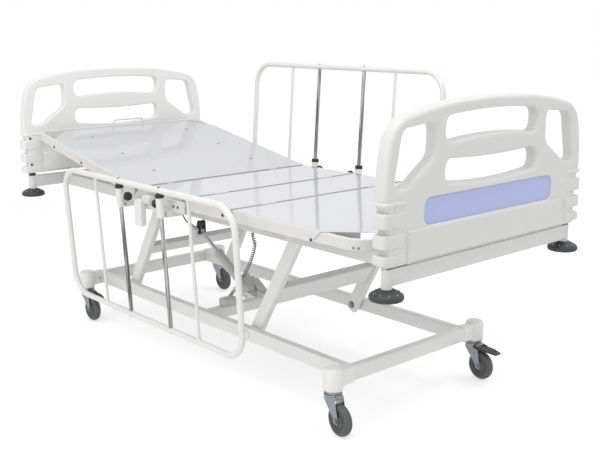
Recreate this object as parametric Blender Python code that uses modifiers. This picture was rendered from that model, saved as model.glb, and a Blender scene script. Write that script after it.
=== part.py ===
"""Hospital bed with a parallel-arm lift, a four-section deck and drop-down side rails.

Metres. +X points to the foot end, +Y to the far side and +Z up, with the floor at zero.
"""
import math

import bmesh
import bpy
from mathutils import Matrix, Vector

# Clearances
GAP = 0.0003             # between pieces that touch
RUN = 0.0005             # all round a pin or rod in its bore

# Casters
WHEEL_RADIUS = 0.052
WHEEL_WIDTH = 0.028
CASTER_HEIGHT = 0.142    # floor to the top of the swivel bearing
TRAIL = 0.0385           # swivel axis to wheel axle
AXLE_RADIUS = 0.0045
BEARING_RADIUS = 0.026
FORK_PLATE = 0.003
FORK_SIDE_PLAY = 0.002   # between wheel and fork leg
STEM_RADIUS = 0.006
STEM_LENGTH = 0.040
PEDAL_REACH = 0.104      # swivel axis to the pedal's tip
PEDAL_PIVOT_X = 0.022
PEDAL_PIVOT_DROP = 0.020 # below the top of the swivel bearing
PEDAL_PIN_RADIUS = 0.003
PEDAL_THICKNESS = 0.010
CASTER_TURN = {          # direction in which each caster trails, in degrees from +X
    "near_head": -0.5,
    "near_foot": -7.0,
    "far_head": -2.0,
    "far_foot": -5.0,
}
BRAKED = ("near_head", "far_foot")

# Tubes of both frames
TUBE_HEIGHT = 0.050
TUBE_WIDTH = 0.030
FRAME_HALF_WIDTH = 0.297

# Base frame
BASE_HEAD_X = -0.7725
BASE_FOOT_X = 0.7872
SOCKET_LIP = 0.011       # socket foot below the tubes
SOCKET_RADIUS = 0.033
SOCKET_HEIGHT = 0.074
SOCKET_OUT = 0.0607      # frame's outer face to the caster axis
BEAM_X = -0.015
BEAM_SIZE = 0.040

# Lift arms
HEAD_PIVOT_X = -0.553
PIVOT_SPACING = 0.825
ARM_LENGTH = 0.470
ARM_ANGLE = math.radians(59.8)
ARM_DEPTH = 0.050
ARM_THICKNESS = 0.025
ARM_WASHER = 0.005
PIN_RADIUS = 0.009
PIN_HEAD_RADIUS = 0.017
PIN_HEAD = 0.004
HEAD_BEAM_AT = 0.206     # along the arm
HEAD_BEAM_DEPTH = 0.045
FOOT_BEAM_AT = 0.182
FOOT_BEAM_DEPTH = 0.078
ARM_BEAM_THICKNESS = 0.030

# Upper frame
END_X = 1.080            # posts and end crossbars
CROSSBAR_HEIGHT = 0.050
POST_Y = 0.4375
POST_RADIUS = 0.0165
POST_DROP = 0.009        # post below the side rails
COLLAR_RADIUS = 0.0150
COLLAR_HEIGHT = 0.0125
SPIGOT_RADIUS = 0.011
SPIGOT_LENGTH = 0.080
BUMPER_RADIUS = 0.050
BUMPER_THICKNESS = 0.031
BUMPER_RIM = 0.014       # straight side below the dome
BUMPER_CROWN_RADIUS = 0.024
BUMPER_PIN_RADIUS = 0.006
BUMPER_PIN_LENGTH = 0.012
OUTRIGGER = 0.022
MEMBER_X = -0.600        # cross member under the backrest
TRAY_THICKNESS = 0.007

# Deck
SHEET = 0.002
APRON = 0.043
DECK_HALF_WIDTH = 0.430
RIB_HEIGHT = 0.054
RIB_WIDTH = 0.022
RIB_INSET = 0.008         # inside the frame's outer face
BACK_HINGE_X = -0.219
SEAT_LENGTH = 0.310
THIGH_LENGTH = 0.271
HEAD_SPACE = 0.014       # between the flat backrest and the head board
FOOT_SPACE = 0.0785      # between the foot section and the foot board
CORNER_CHAMFER = 0.115
BAR_THICKNESS = 0.016
BAR_HEIGHT = 0.036
HEAD_BAR_CORNER = 0.050
FOOT_BAR_CORNER = 0.085
HEAD_BAR_BEYOND = 0.0445 # past the backrest's sheet
FOOT_BAR_BEYOND = 0.034  # past the foot section's sheet
BACKREST_ANGLE = math.radians(10.5)
BARREL_RADIUS = 0.0035
HINGE_PIN_RADIUS = 0.0018
BARREL_SPACE = 0.0007     # between a barrel and the other section's sheet
BARREL_LENGTH = 0.030
HINGE_Y = 0.330
STOP_HALF_WIDTH = 0.080
STOP_HEIGHT = 0.040
STOP_RADIUS = 0.004

# End boards
BOARD_THICKNESS = 0.045
BOARD_TOP = 0.450        # height above the board's foot
BOARD_HALF_WIDTH = 0.475
BOARD_EDGE = 0.0145
RIB_BLOCK_OUT = 0.481
RIB_BLOCK_IN = 0.390
RIB_BLOCK_BULGE = 0.003
GROOVE_DEPTH = 0.022
INSET_HALF_LENGTH = 0.312
INSET_LOW = 0.093         # above the board's foot
INSET_HIGH = 0.172
INSET_DEPTH = 0.003

# Side rails
RAIL_X = -0.091
RAIL_Y = 0.4995          # at the top of the bush
RAIL_LEAN = math.radians(3.55)
RAIL_HALF_LENGTH = 0.564
RAIL_HEIGHT = 0.524
RAIL_RADIUS = 0.0111
RAIL_CORNER = 0.090
RAIL_STOP_SPACE = 0.0232 # between the sleeves and the raised loop's lower tube
ROD_RADIUS = 0.008
ROD_SPREAD = 0.136
BAR_RADIUS = 0.00635
BAR_SPREAD = 0.312
SLEEVE_RADIUS = 0.015
SLEEVE_LENGTH = 0.072
BUSH_RADIUS = 0.016
BUSH_HEIGHT = 0.014
BUSH_ABOVE_DECK = 0.0205
PLUNGER_RADIUS = 0.005
KNOB_RADIUS = 0.014
KNOB_LENGTH = 0.018
BOSS_RADIUS = 0.010
BOSS_LENGTH = 0.010

# Lift actuator, working between the base beam and the head arms
LIFT_PIN_X = -0.070
LIFT_PIN_RISE = 0.012    # above the base tubes' middle
LIFT_PIN_RADIUS = 0.006
LIFT_EYE_AT = 0.2665     # far pin, along the head arm
LIFT_EYE_OFF = -0.0127   # far pin, square to the head arm
TAIL_RADIUS = 0.015
GEARBOX_START = 0.004    # along the actuator from its lower pin
GEARBOX_END = 0.080
GEARBOX_HALF = 0.026
MOTOR_BLOCK_START = 0.024
MOTOR_BLOCK_END = 0.078
MOTOR_BLOCK_HALF = 0.025
MOTOR_BLOCK_ASIDE = 0.040
ROD_BORE_START = 0.050
ACTUATOR_TUBE = 0.019
ACTUATOR_TUBE_END = 0.262
ACTUATOR_TUBE_START = 0.070
MOTOR_RADIUS = 0.020
MOTOR_ASIDE = 0.019       # motor axis outside the gearbox
MOTOR_END = 0.104
LIFT_ROD_RADIUS = 0.0085
LIFT_ROD_INNER = 0.175
CHEEK_GAP = 0.019
CHEEK = 0.006
EYE_RADIUS = 0.012

# Twin drive for the backrest and the legs
DRIVE_X0 = -0.130
DRIVE_X1 = 0.030
DRIVE_HALF_WIDTH = 0.060
DRIVE_HEIGHT = 0.070
PUSH_RADIUS = 0.008
PUSH_Y = 0.030
LEVER = 0.085
BACK_LEVER_LEAN = math.radians(35.0)
LEG_LEVER_LEAN = math.radians(17.5)
LEVER_END = 0.014

# Handset, hung on a flat bar beside the deck
HANDSET_X = -0.1405
HANDSET_WIDTH = 0.045
HANDSET_HEIGHT = 0.100
HANDSET_THICKNESS = 0.025
KEYPAD_DEPTH = 0.005
KEYPAD_TRAVEL = 0.0010
HANG_BAR_Y = 0.449
HANG_BAR_THICKNESS = 0.006
HANG_BAR_HEIGHT = 0.018
HANG_BAR_DROP = 0.001     # below the outriggers' top

# Cords
CORD_RADIUS = 0.0014
COIL_RADIUS = 0.0045
CURLS = 25
CABLE_RADIUS = 0.0018

# Heights and places that follow from the sizes above
BASE_BOTTOM = CASTER_HEIGHT + SOCKET_LIP
BASE_MID = BASE_BOTTOM + TUBE_HEIGHT / 2
FOOT_PIVOT_X = HEAD_PIVOT_X + PIVOT_SPACING
ARM_RUN = ARM_LENGTH * math.cos(ARM_ANGLE)
ARM_RISE = ARM_LENGTH * math.sin(ARM_ANGLE)
UPPER_MID = BASE_MID + ARM_RISE
UPPER_BOTTOM = UPPER_MID - TUBE_HEIGHT / 2
UPPER_TOP = UPPER_MID + TUBE_HEIGHT / 2
DECK_TOP = UPPER_TOP + GAP + RIB_HEIGHT + SHEET
HINGE_Z = DECK_TOP - SHEET / 2
SECTION_GAP = 2 * (BARREL_RADIUS + BARREL_SPACE)
THIGH_HINGE_X = BACK_HINGE_X + SEAT_LENGTH
FOOT_HINGE_X = THIGH_HINGE_X + THIGH_LENGTH
BACKREST_LENGTH = END_X - BOARD_THICKNESS / 2 - HEAD_SPACE + BACK_HINGE_X
FOOT_LENGTH = END_X - BOARD_THICKNESS / 2 - FOOT_SPACE - FOOT_HINGE_X
RAIL_INNER = FRAME_HALF_WIDTH - TUBE_WIDTH
RIB_OUT = FRAME_HALF_WIDTH - RIB_INSET
ARM_OUTER = RAIL_INNER - ARM_WASHER
ARM_INNER = ARM_OUTER - ARM_THICKNESS
BOARD_FOOT = UPPER_TOP + COLLAR_HEIGHT + GAP
OUTRIGGER_TOP = DECK_TOP - APRON - 0.003
BUSH_TOP = DECK_TOP + BUSH_ABOVE_DECK
HANG_TOP = OUTRIGGER_TOP - HANG_BAR_DROP
RAIL_REST = RAIL_RADIUS + GAP
RAIL_TRAVEL = (RAIL_HEIGHT - RAIL_REST - RAIL_RADIUS - BUSH_HEIGHT - GAP - SLEEVE_LENGTH
               - RAIL_STOP_SPACE)
PEDAL_PIVOT_Z = CASTER_HEIGHT - PEDAL_PIVOT_DROP
TRAY_TOP = UPPER_BOTTOM + TRAY_THICKNESS
PUSH_Z = HINGE_Z - LEVER * math.cos(BACK_LEVER_LEAN / 2)
LIFT_PIN = Vector((LIFT_PIN_X, 0.0, BASE_MID + LIFT_PIN_RISE))
ARM_ALONG = Vector((math.cos(ARM_ANGLE), 0.0, math.sin(ARM_ANGLE)))
ARM_ACROSS = Vector((-math.sin(ARM_ANGLE), 0.0, math.cos(ARM_ANGLE)))
HEAD_PIVOT = Vector((HEAD_PIVOT_X, 0.0, BASE_MID))
FOOT_PIVOT = Vector((FOOT_PIVOT_X, 0.0, BASE_MID))
LIFT_EYE = HEAD_PIVOT + LIFT_EYE_AT * ARM_ALONG + LIFT_EYE_OFF * ARM_ACROSS
LIFT_REACH = (LIFT_EYE - LIFT_PIN).length
LIFT_SLOPE = math.atan2(LIFT_EYE.z - LIFT_PIN.z, LIFT_EYE.x - LIFT_PIN.x)
CENTRE_SHIFT = -math.sin(RAIL_LEAN) * RAIL_TRAVEL / 2

for old in list(bpy.data.objects):
    bpy.data.objects.remove(old)
bed = bpy.data.collections.new("hospital_bed")
bpy.context.scene.collection.children.link(bed)


def paint(name, colour, roughness, metallic=0.0):
    """A plain material."""
    material = bpy.data.materials.new(name)
    material.use_nodes = True
    shader = material.node_tree.nodes["Principled BSDF"]
    shader.inputs["Base Color"].default_value = (*colour, 1.0)
    shader.inputs["Roughness"].default_value = roughness
    shader.inputs["Metallic"].default_value = metallic
    return material


WHITE = paint("white_coat", (0.80, 0.80, 0.81), 0.35)
SHEET_WHITE = paint("deck_coat", (0.76, 0.77, 0.80), 0.18)
IVORY = paint("ivory_plastic", (0.78, 0.77, 0.74), 0.42)
BLUE = paint("blue_panel", (0.40, 0.46, 0.70), 0.40)
ZINC = paint("zinc", (0.62, 0.62, 0.62), 0.35, 1.0)
CHROME = paint("chrome", (0.85, 0.85, 0.86), 0.08, 1.0)
TYRE = paint("grey_tyre", (0.09, 0.09, 0.09), 0.60)
SLATE = paint("slate_rubber", (0.05, 0.055, 0.06), 0.55)
BLACK = paint("black_plastic", (0.02, 0.02, 0.02), 0.40)
GREY = paint("grey_plastic", (0.38, 0.38, 0.37), 0.45)
CORD = paint("cord_jacket", (0.30, 0.30, 0.30), 0.55)


def from_bmesh(bm):
    """A loose working object that takes over the bmesh."""
    bmesh.ops.recalc_face_normals(bm, faces=bm.faces)
    if bm.calc_volume(signed=True) < 0:
        bmesh.ops.reverse_faces(bm, faces=bm.faces)
    mesh = bpy.data.meshes.new("work")
    bm.to_mesh(mesh)
    bm.free()
    obj = bpy.data.objects.new("work", mesh)
    bed.objects.link(obj)
    return obj


def baked(obj):
    """The object with its modifiers or curve settled into a plain, closed mesh."""
    bpy.context.view_layer.update()
    graph = bpy.context.evaluated_depsgraph_get()
    mesh = bpy.data.meshes.new_from_object(obj.evaluated_get(graph))
    bm = bmesh.new()
    bm.from_mesh(mesh)
    bm.transform(obj.matrix_world)
    bmesh.ops.remove_doubles(bm, verts=bm.verts, dist=0.000002)
    bmesh.ops.dissolve_degenerate(bm, edges=bm.edges, dist=0.000002)
    bmesh.ops.holes_fill(bm, edges=[e for e in bm.edges if e.is_boundary], sides=0)
    bpy.data.objects.remove(obj)
    return from_bmesh(bm)


def box(x0, x1, y0, y1, z0, z1):
    bm = bmesh.new()
    bmesh.ops.create_cube(bm, size=1.0)
    size = Matrix.Diagonal((x1 - x0, y1 - y0, z1 - z0, 1.0))
    bm.transform(Matrix.Translation(((x0 + x1) / 2, (y0 + y1) / 2, (z0 + z1) / 2)) @ size)
    return from_bmesh(bm)


def rod(start, end, radius, sides=16, end_radius=None):
    """A round bar between two points, or a cone if the end has a radius of its own."""
    start, end = Vector(start), Vector(end)
    bm = bmesh.new()
    bmesh.ops.create_cone(bm, cap_ends=True, segments=sides, radius1=radius,
                          radius2=radius if end_radius is None else end_radius,
                          depth=(end - start).length)
    turn = Vector((0, 0, 1)).rotation_difference(end - start).to_matrix().to_4x4()
    bm.transform(Matrix.Translation((start + end) / 2) @ turn)
    return from_bmesh(bm)


def turned(profile, steps):
    """A closed profile of (radius, height) points turned about Z."""
    mesh = bpy.data.meshes.new("profile")
    count = len(profile)
    ring = [(i, (i + 1) % count) for i in range(count)]
    on_axis = [pair for pair in ring if profile[pair[0]][0] or profile[pair[1]][0]]
    mesh.from_pydata([(r, 0.0, z) for r, z in profile], on_axis, [])
    obj = bpy.data.objects.new("work", mesh)
    bed.objects.link(obj)
    screw = obj.modifiers.new("Screw", "SCREW")
    screw.angle = math.tau
    screw.steps = screw.render_steps = steps
    screw.use_merge_vertices = True
    screw.merge_threshold = 0.00001
    return baked(obj)


def plate(outline, z0, z1):
    """A flat outline in X and Y, filled between two heights."""
    curve = bpy.data.curves.new("outline", "CURVE")
    curve.dimensions = "2D"
    curve.fill_mode = "BOTH"
    curve.extrude = (z1 - z0) / 2
    spline = curve.splines.new("POLY")
    spline.points.add(len(outline) - 1)
    for point, (x, y) in zip(spline.points, outline):
        point.co = (x, y, 0.0, 1.0)
    spline.use_cyclic_u = True
    obj = bpy.data.objects.new("work", curve)
    obj.location.z = (z0 + z1) / 2
    bed.objects.link(obj)
    return baked(obj)


def inset(loop, distance):
    """The loop moved inwards by the distance, or outwards if it is negative."""
    corners = [Vector(p) for p in loop]
    pairs = list(zip(corners, corners[1:] + corners[:1]))
    way = 1 if sum(a.x * b.y - b.x * a.y for a, b in pairs) > 0 else -1
    inward = [Vector((a.y - b.y, b.x - a.x)).normalized() * way for a, b in pairs]
    return [p + (n + m) * distance / (1 + n.dot(m))
            for p, n, m in zip(corners, inward[-1:] + inward[:-1], inward)]


def rimmed_plate(outline, holes, half, edge):
    """A plate about its middle plane, with holes, and all its rims chamfered by the edge."""
    bm = bmesh.new()
    ends = {half: [], -half: []}
    for loop, into in [(outline, edge)] + [(hole, -edge) for hole in holes]:
        rings = []
        for depth, height in ((into, half), (0.0, half - edge), (0.0, edge - half), (into, -half)):
            rings.append([bm.verts.new((*p, height)) for p in inset(loop, depth)])
        for ring, after in zip(rings, rings[1:]):
            for a, b, c, d in zip(ring, ring[1:] + ring[:1], after[1:] + after[:1], after):
                bm.faces.new((a, b, c, d))
        for ring, height in ((rings[0], half), (rings[-1], -half)):
            ends[height] += [bm.edges.get(pair) for pair in zip(ring, ring[1:] + ring[:1])]
    for edges in ends.values():
        bmesh.ops.triangle_fill(bm, edges=edges, use_beauty=True)
    return from_bmesh(bm)


def tube(points, radius, resolution=3, closed=False):
    """A round tube swept along the points."""
    curve = bpy.data.curves.new("path", "CURVE")
    curve.dimensions = "3D"
    curve.bevel_depth = radius
    curve.bevel_resolution = resolution
    curve.use_fill_caps = not closed
    spline = curve.splines.new("POLY")
    spline.points.add(len(points) - 1)
    for point, place in zip(spline.points, points):
        point.co = (*place, 1.0)
    spline.use_cyclic_u = closed
    obj = bpy.data.objects.new("work", curve)
    bed.objects.link(obj)
    return baked(obj)


def combined(operation, base, tools):
    for tool in tools:
        step = base.modifiers.new("Boolean", "BOOLEAN")
        step.operation = operation
        step.solver = "EXACT"
        step.object = tool
    result = baked(base)
    for tool in tools:
        bpy.data.objects.remove(tool)
    bm = bmesh.new()
    bm.from_mesh(result.data)
    bmesh.ops.dissolve_limit(bm, angle_limit=math.radians(0.3), verts=bm.verts, edges=bm.edges)
    bm.to_mesh(result.data)
    bm.free()
    return result


def joined(base, *tools):
    return combined("UNION", base, tools)


def cut(base, *tools):
    return combined("DIFFERENCE", base, tools)


def moved(obj, matrix):
    """The same mesh, carried by a matrix."""
    obj.data.transform(matrix)
    if matrix.determinant() < 0:
        obj.data.flip_normals()
    return obj


def arc(centre, radius, start, end, steps):
    """Points on an arc, with angles in degrees."""
    return [(centre[0] + radius * math.cos(math.radians(start + (end - start) * i / steps)),
             centre[1] + radius * math.sin(math.radians(start + (end - start) * i / steps)))
            for i in range(steps + 1)]


def bend(a, control, b, steps):
    """Points on a quadratic curve from a to b, drawn towards the control point."""
    points = []
    for i in range(steps + 1):
        t = i / steps
        weight = ((1 - t) ** 2, 2 * t * (1 - t), t * t)
        points.append(tuple(sum(w * p[k] for w, p in zip(weight, (a, control, b))) for k in (0, 1)))
    return points


def rounded(corners, radius, steps=4):
    """A polygon whose corners are eased by about the radius."""
    points = []
    for i, here in enumerate(corners):
        here = Vector(here)
        before = Vector(corners[i - 1]) - here
        after = Vector(corners[(i + 1) % len(corners)]) - here
        points += bend(here + before.normalized() * radius, here,
                       here + after.normalized() * radius, steps)
    return points


def capsule(a, b, radius, end_radius=None, steps=6):
    """An outline round two points."""
    end_radius = radius if end_radius is None else end_radius
    lie = math.degrees(math.atan2(b[1] - a[1], b[0] - a[0]))
    return arc(a, radius, lie + 90, lie + 270, steps) + arc(b, end_radius, lie - 90, lie + 90, steps)


def upright(obj):
    """Turns a plate so that its X and Y become X and Z, and its height becomes -Y."""
    return moved(obj, Matrix.Rotation(math.pi / 2, 4, "X"))


def axis(name, parent, place=(0.0, 0.0, 0.0), turn=(0.0, 0.0, 0.0)):
    """An empty that stands on a joint."""
    empty = bpy.data.objects.new(name, None)
    empty.empty_display_size = 0.05
    empty.location = place
    empty.rotation_euler = turn
    empty.parent = parent
    bed.objects.link(empty)
    return empty


def piece(name, obj, material, parent):
    """Names a finished sub-part and hangs it on its axis."""
    obj.name = name
    obj.data.name = name
    obj.data.materials.clear()
    obj.data.materials.append(material)
    obj.parent = parent
    return obj


def twin(name, source, parent):
    """A second sub-part that shares its mesh with the first."""
    obj = bpy.data.objects.new(name, source.data)
    obj.parent = parent
    bed.objects.link(obj)
    return obj


def sides():
    return (("near", -1), ("far", 1))


ORIGIN = axis("bed_origin", None, (0.0, CENTRE_SHIFT, 0.0))


def build_base():
    half = TUBE_WIDTH / 2
    top = BASE_BOTTOM + TUBE_HEIGHT
    frame = box(BASE_HEAD_X - half, BASE_HEAD_X + half, -FRAME_HALF_WIDTH, FRAME_HALF_WIDTH,
                BASE_BOTTOM, top)
    bars = [box(BASE_FOOT_X - half, BASE_FOOT_X + half, -FRAME_HALF_WIDTH, FRAME_HALF_WIDTH,
                BASE_BOTTOM, top)]
    for side in (-1, 1):
        low, high = sorted((side * RAIL_INNER, side * FRAME_HALF_WIDTH))
        bars.append(box(BASE_HEAD_X, BASE_FOOT_X, low, high, BASE_BOTTOM, top))
    bars.append(box(BEAM_X - BEAM_SIZE / 2, BEAM_X + BEAM_SIZE / 2, -RAIL_INNER - half,
                    RAIL_INNER + half, BASE_BOTTOM, BASE_BOTTOM + BEAM_SIZE))
    for side in (-1, 1):
        inner = side * (CHEEK_GAP + GAP)
        low, high = sorted((inner, inner + side * CHEEK))
        ear = plate(capsule((BEAM_X, BASE_MID), (LIFT_PIN.x, LIFT_PIN.z), 0.018, 0.016), -high, -low)
        bars.append(upright(ear))
    frame = joined(frame, *bars)
    holes = []
    for x in (HEAD_PIVOT_X, FOOT_PIVOT_X):
        for side in (-1, 1):
            holes.append(rod((x, side * (RAIL_INNER - 0.01), BASE_MID),
                             (x, side * (FRAME_HALF_WIDTH + 0.01), BASE_MID), PIN_RADIUS + RUN, 12))
    wide = CHEEK_GAP + CHEEK + 0.01
    holes.append(rod((LIFT_PIN.x, -wide, LIFT_PIN.z), (LIFT_PIN.x, wide, LIFT_PIN.z),
                     LIFT_PIN_RADIUS + RUN, 10))
    piece("base_frame", cut(frame, *holes), WHITE, ORIGIN)


def build_socket():
    foot = CASTER_HEIGHT + GAP
    head = foot + SOCKET_HEIGHT
    r = SOCKET_RADIUS
    body = turned([(0, foot), (r - 0.004, foot), (r, foot + 0.004), (r, head - 0.014),
                   (r - 0.004, head - 0.005), (r - 0.014, head), (0, head)], 16)
    arm = box(-0.020, 0.020, 0.0, SOCKET_OUT - GAP, BASE_BOTTOM - 0.003,
              BASE_BOTTOM + TUBE_HEIGHT + 0.003)
    stem = rod((0, 0, foot - 0.01), (0, 0, foot + STEM_LENGTH), STEM_RADIUS + RUN, 10)
    return cut(joined(body, arm), stem)


def build_fork():
    inner = WHEEL_WIDTH / 2 + FORK_SIDE_PLAY
    outer = inner + FORK_PLATE
    under = CASTER_HEIGHT - 0.014
    fork = rod((0, 0, under), (0, 0, CASTER_HEIGHT), BEARING_RADIUS, 16)
    crown = box(-0.022, 0.030, -outer - 0.001, outer + 0.001, under - 0.012, under + 0.001)
    stem = rod((0, 0, under), (0, 0, CASTER_HEIGHT + STEM_LENGTH - 0.002), STEM_RADIUS, 8)
    legs = []
    for side in (-1, 1):
        low, high = sorted((side * inner, side * outer))
        shape = [(-0.021, under - 0.001), (0.029, under - 0.001)]
        shape += arc((TRAIL, WHEEL_RADIUS), 0.012, 20, -190, 5)
        shape.append((-0.021, under - 0.013))
        legs.append(upright(plate(shape, -high, -low)))
        legs.append(rod((TRAIL, side * (outer - 0.001), WHEEL_RADIUS),
                        (TRAIL, side * (outer + 0.004), WHEEL_RADIUS), 0.0085, 6))
    axle = rod((TRAIL, -outer, WHEEL_RADIUS), (TRAIL, outer, WHEEL_RADIUS), AXLE_RADIUS, 8)
    holes = [rod((PEDAL_PIVOT_X, side * (outer - 0.006), PEDAL_PIVOT_Z),
                 (PEDAL_PIVOT_X, side * (outer + 0.01), PEDAL_PIVOT_Z), PEDAL_PIN_RADIUS + RUN, 8)
             for side in (-1, 1)]
    return cut(joined(fork, crown, stem, axle, *legs), *holes)


def build_wheel():
    half = WHEEL_WIDTH / 2
    r = WHEEL_RADIUS
    bore = AXLE_RADIUS + RUN
    wheel = turned([(bore, -half - 0.001), (0.012, -half - 0.001), (0.036, -half + 0.003),
                    (r - 0.005, -half), (r, -half + 0.006), (r, half - 0.006), (r - 0.005, half),
                    (0.036, half - 0.003), (0.012, half + 0.001), (bore, half + 0.001)], 18)
    moved(wheel, Matrix.Rotation(math.pi / 2, 4, "X"))
    return wheel


def build_pedal():
    outer = WHEEL_WIDTH / 2 + FORK_SIDE_PLAY + FORK_PLATE + 0.001 + GAP
    high = PEDAL_PIVOT_Z
    low = high - PEDAL_THICKNESS
    pivot = PEDAL_PIVOT_X
    side_view = [(0.041, low), (PEDAL_REACH - 0.016, low), (PEDAL_REACH - 0.002, low - 0.008),
                 (PEDAL_REACH, low - 0.002), (PEDAL_REACH - 0.010, high), (0.041, high)]
    tread = upright(plate(side_view, -outer - 0.003, outer + 0.003))
    ears = []
    for side in (-1, 1):
        near, far = sorted((side * outer, side * (outer + 0.003)))
        shape = capsule((pivot, high), (pivot + 0.024, high - 0.005), 0.005, steps=3)
        ears.append(upright(plate(shape, -far, -near)))
        ears.append(rod((pivot, side * (outer + 0.002), high), (pivot, side * (outer - 0.005), high),
                        PEDAL_PIN_RADIUS, 8))
    pedal = joined(tread, *ears)
    return moved(pedal, Matrix.Translation((-pivot, 0.0, -high)))


def build_casters():
    sockets, forks, wheels, pedals = [], [], [], []
    for end, x in (("head", BASE_HEAD_X), ("foot", BASE_FOOT_X)):
        for name, side in sides():
            corner = f"{name}_{end}"
            place = (x, side * (FRAME_HALF_WIDTH + SOCKET_OUT), 0.0)
            seat = axis(f"socket_{corner}", ORIGIN, place, (0, 0, math.pi if side > 0 else 0.0))
            swivel = axis(f"swivel_{corner}", ORIGIN, place,
                          (0, 0, math.radians(CASTER_TURN[corner])))
            hub = axis(f"axle_{corner}", swivel, (TRAIL, 0.0, WHEEL_RADIUS))
            if not forks:
                sockets.append(piece(f"caster_socket_{corner}", build_socket(), IVORY, seat))
                forks.append(piece(f"caster_fork_{corner}", build_fork(), ZINC, swivel))
                wheels.append(piece(f"caster_wheel_{corner}", build_wheel(), TYRE, hub))
            else:
                twin(f"caster_socket_{corner}", sockets[0], seat)
                twin(f"caster_fork_{corner}", forks[0], swivel)
                twin(f"caster_wheel_{corner}", wheels[0], hub)
            if corner in BRAKED:
                rock = axis(f"brake_{corner}", swivel, (PEDAL_PIVOT_X, 0.0, PEDAL_PIVOT_Z))
                if not pedals:
                    pedals.append(piece(f"brake_pedal_{corner}", build_pedal(), BLACK, rock))
                else:
                    twin(f"brake_pedal_{corner}", pedals[0], rock)


def arm_pair(beam_at, beam_depth):
    """Two arms along local X from the lower pivot, with their pins, joined by a beam."""
    beam = box(beam_at - beam_depth / 2, beam_at + beam_depth / 2, -ARM_INNER - 0.010,
               ARM_INNER + 0.010, -ARM_BEAM_THICKNESS / 2, ARM_BEAM_THICKNESS / 2)
    bars = []
    for side in (-1, 1):
        low, high = sorted((side * ARM_INNER, side * ARM_OUTER))
        outline = capsule((0.0, 0.0), (ARM_LENGTH, 0.0), ARM_DEPTH / 2, steps=6)
        bars.append(upright(plate(outline, -high, -low)))
        face = FRAME_HALF_WIDTH + GAP
        for x in (0.0, ARM_LENGTH):
            bars.append(rod((x, side * (ARM_INNER - 0.005), 0), (x, side * (ARM_INNER + 0.002), 0),
                            0.011, 6))
            bars.append(rod((x, side * (ARM_OUTER - 0.002), 0), (x, side * (RAIL_INNER - GAP), 0),
                            0.016, 12))
            bars.append(rod((x, side * (ARM_OUTER - 0.002), 0), (x, side * (face + 0.001), 0),
                            PIN_RADIUS, 12))
            bars.append(rod((x, side * face, 0), (x, side * (face + PIN_HEAD), 0), PIN_HEAD_RADIUS,
                            12, PIN_HEAD_RADIUS - 0.002))
    return joined(beam, *bars)


def build_arms():
    tilt = (0.0, -ARM_ANGLE, 0.0)
    head = axis("head_arm_axis", ORIGIN, HEAD_PIVOT, tilt)
    foot = axis("foot_arm_axis", ORIGIN, FOOT_PIVOT, tilt)
    top = HEAD_BEAM_AT + HEAD_BEAM_DEPTH / 2
    reach = LIFT_EYE_AT + 0.012
    fork_out = CHEEK_GAP / 2 + CHEEK
    bracket = box(top - 0.005, reach, -fork_out - 0.022, -fork_out - GAP, -0.014, 0.014)
    piece("head_lift_arms", joined(arm_pair(HEAD_BEAM_AT, HEAD_BEAM_DEPTH), bracket), WHITE, head)
    gusset = box(FOOT_BEAM_AT + FOOT_BEAM_DEPTH / 2 - 0.005, FOOT_BEAM_AT + FOOT_BEAM_DEPTH / 2 + 0.03,
                 ARM_INNER - 0.012, ARM_INNER + 0.004, -0.012, 0.012)
    piece("foot_lift_arms", joined(arm_pair(FOOT_BEAM_AT, FOOT_BEAM_DEPTH), gusset), WHITE, foot)
    shape = capsule((top + 0.012, LIFT_EYE_OFF / 2), (LIFT_EYE_AT, LIFT_EYE_OFF), 0.011, 0.014)
    fork = box(top + GAP, top + 0.014, -fork_out, fork_out, LIFT_EYE_OFF / 2 - 0.011,
               LIFT_EYE_OFF / 2 + 0.011)
    cheeks = []
    for side in (-1, 1):
        low, high = sorted((side * CHEEK_GAP / 2, side * fork_out))
        cheeks.append(cut(upright(plate(shape, -high, -low)),
                          box(top - 0.05, top + GAP, -0.05, 0.05, -0.05, 0.05)))
    piece("lift_fork", joined(fork, *cheeks), BLACK, head)


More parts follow.
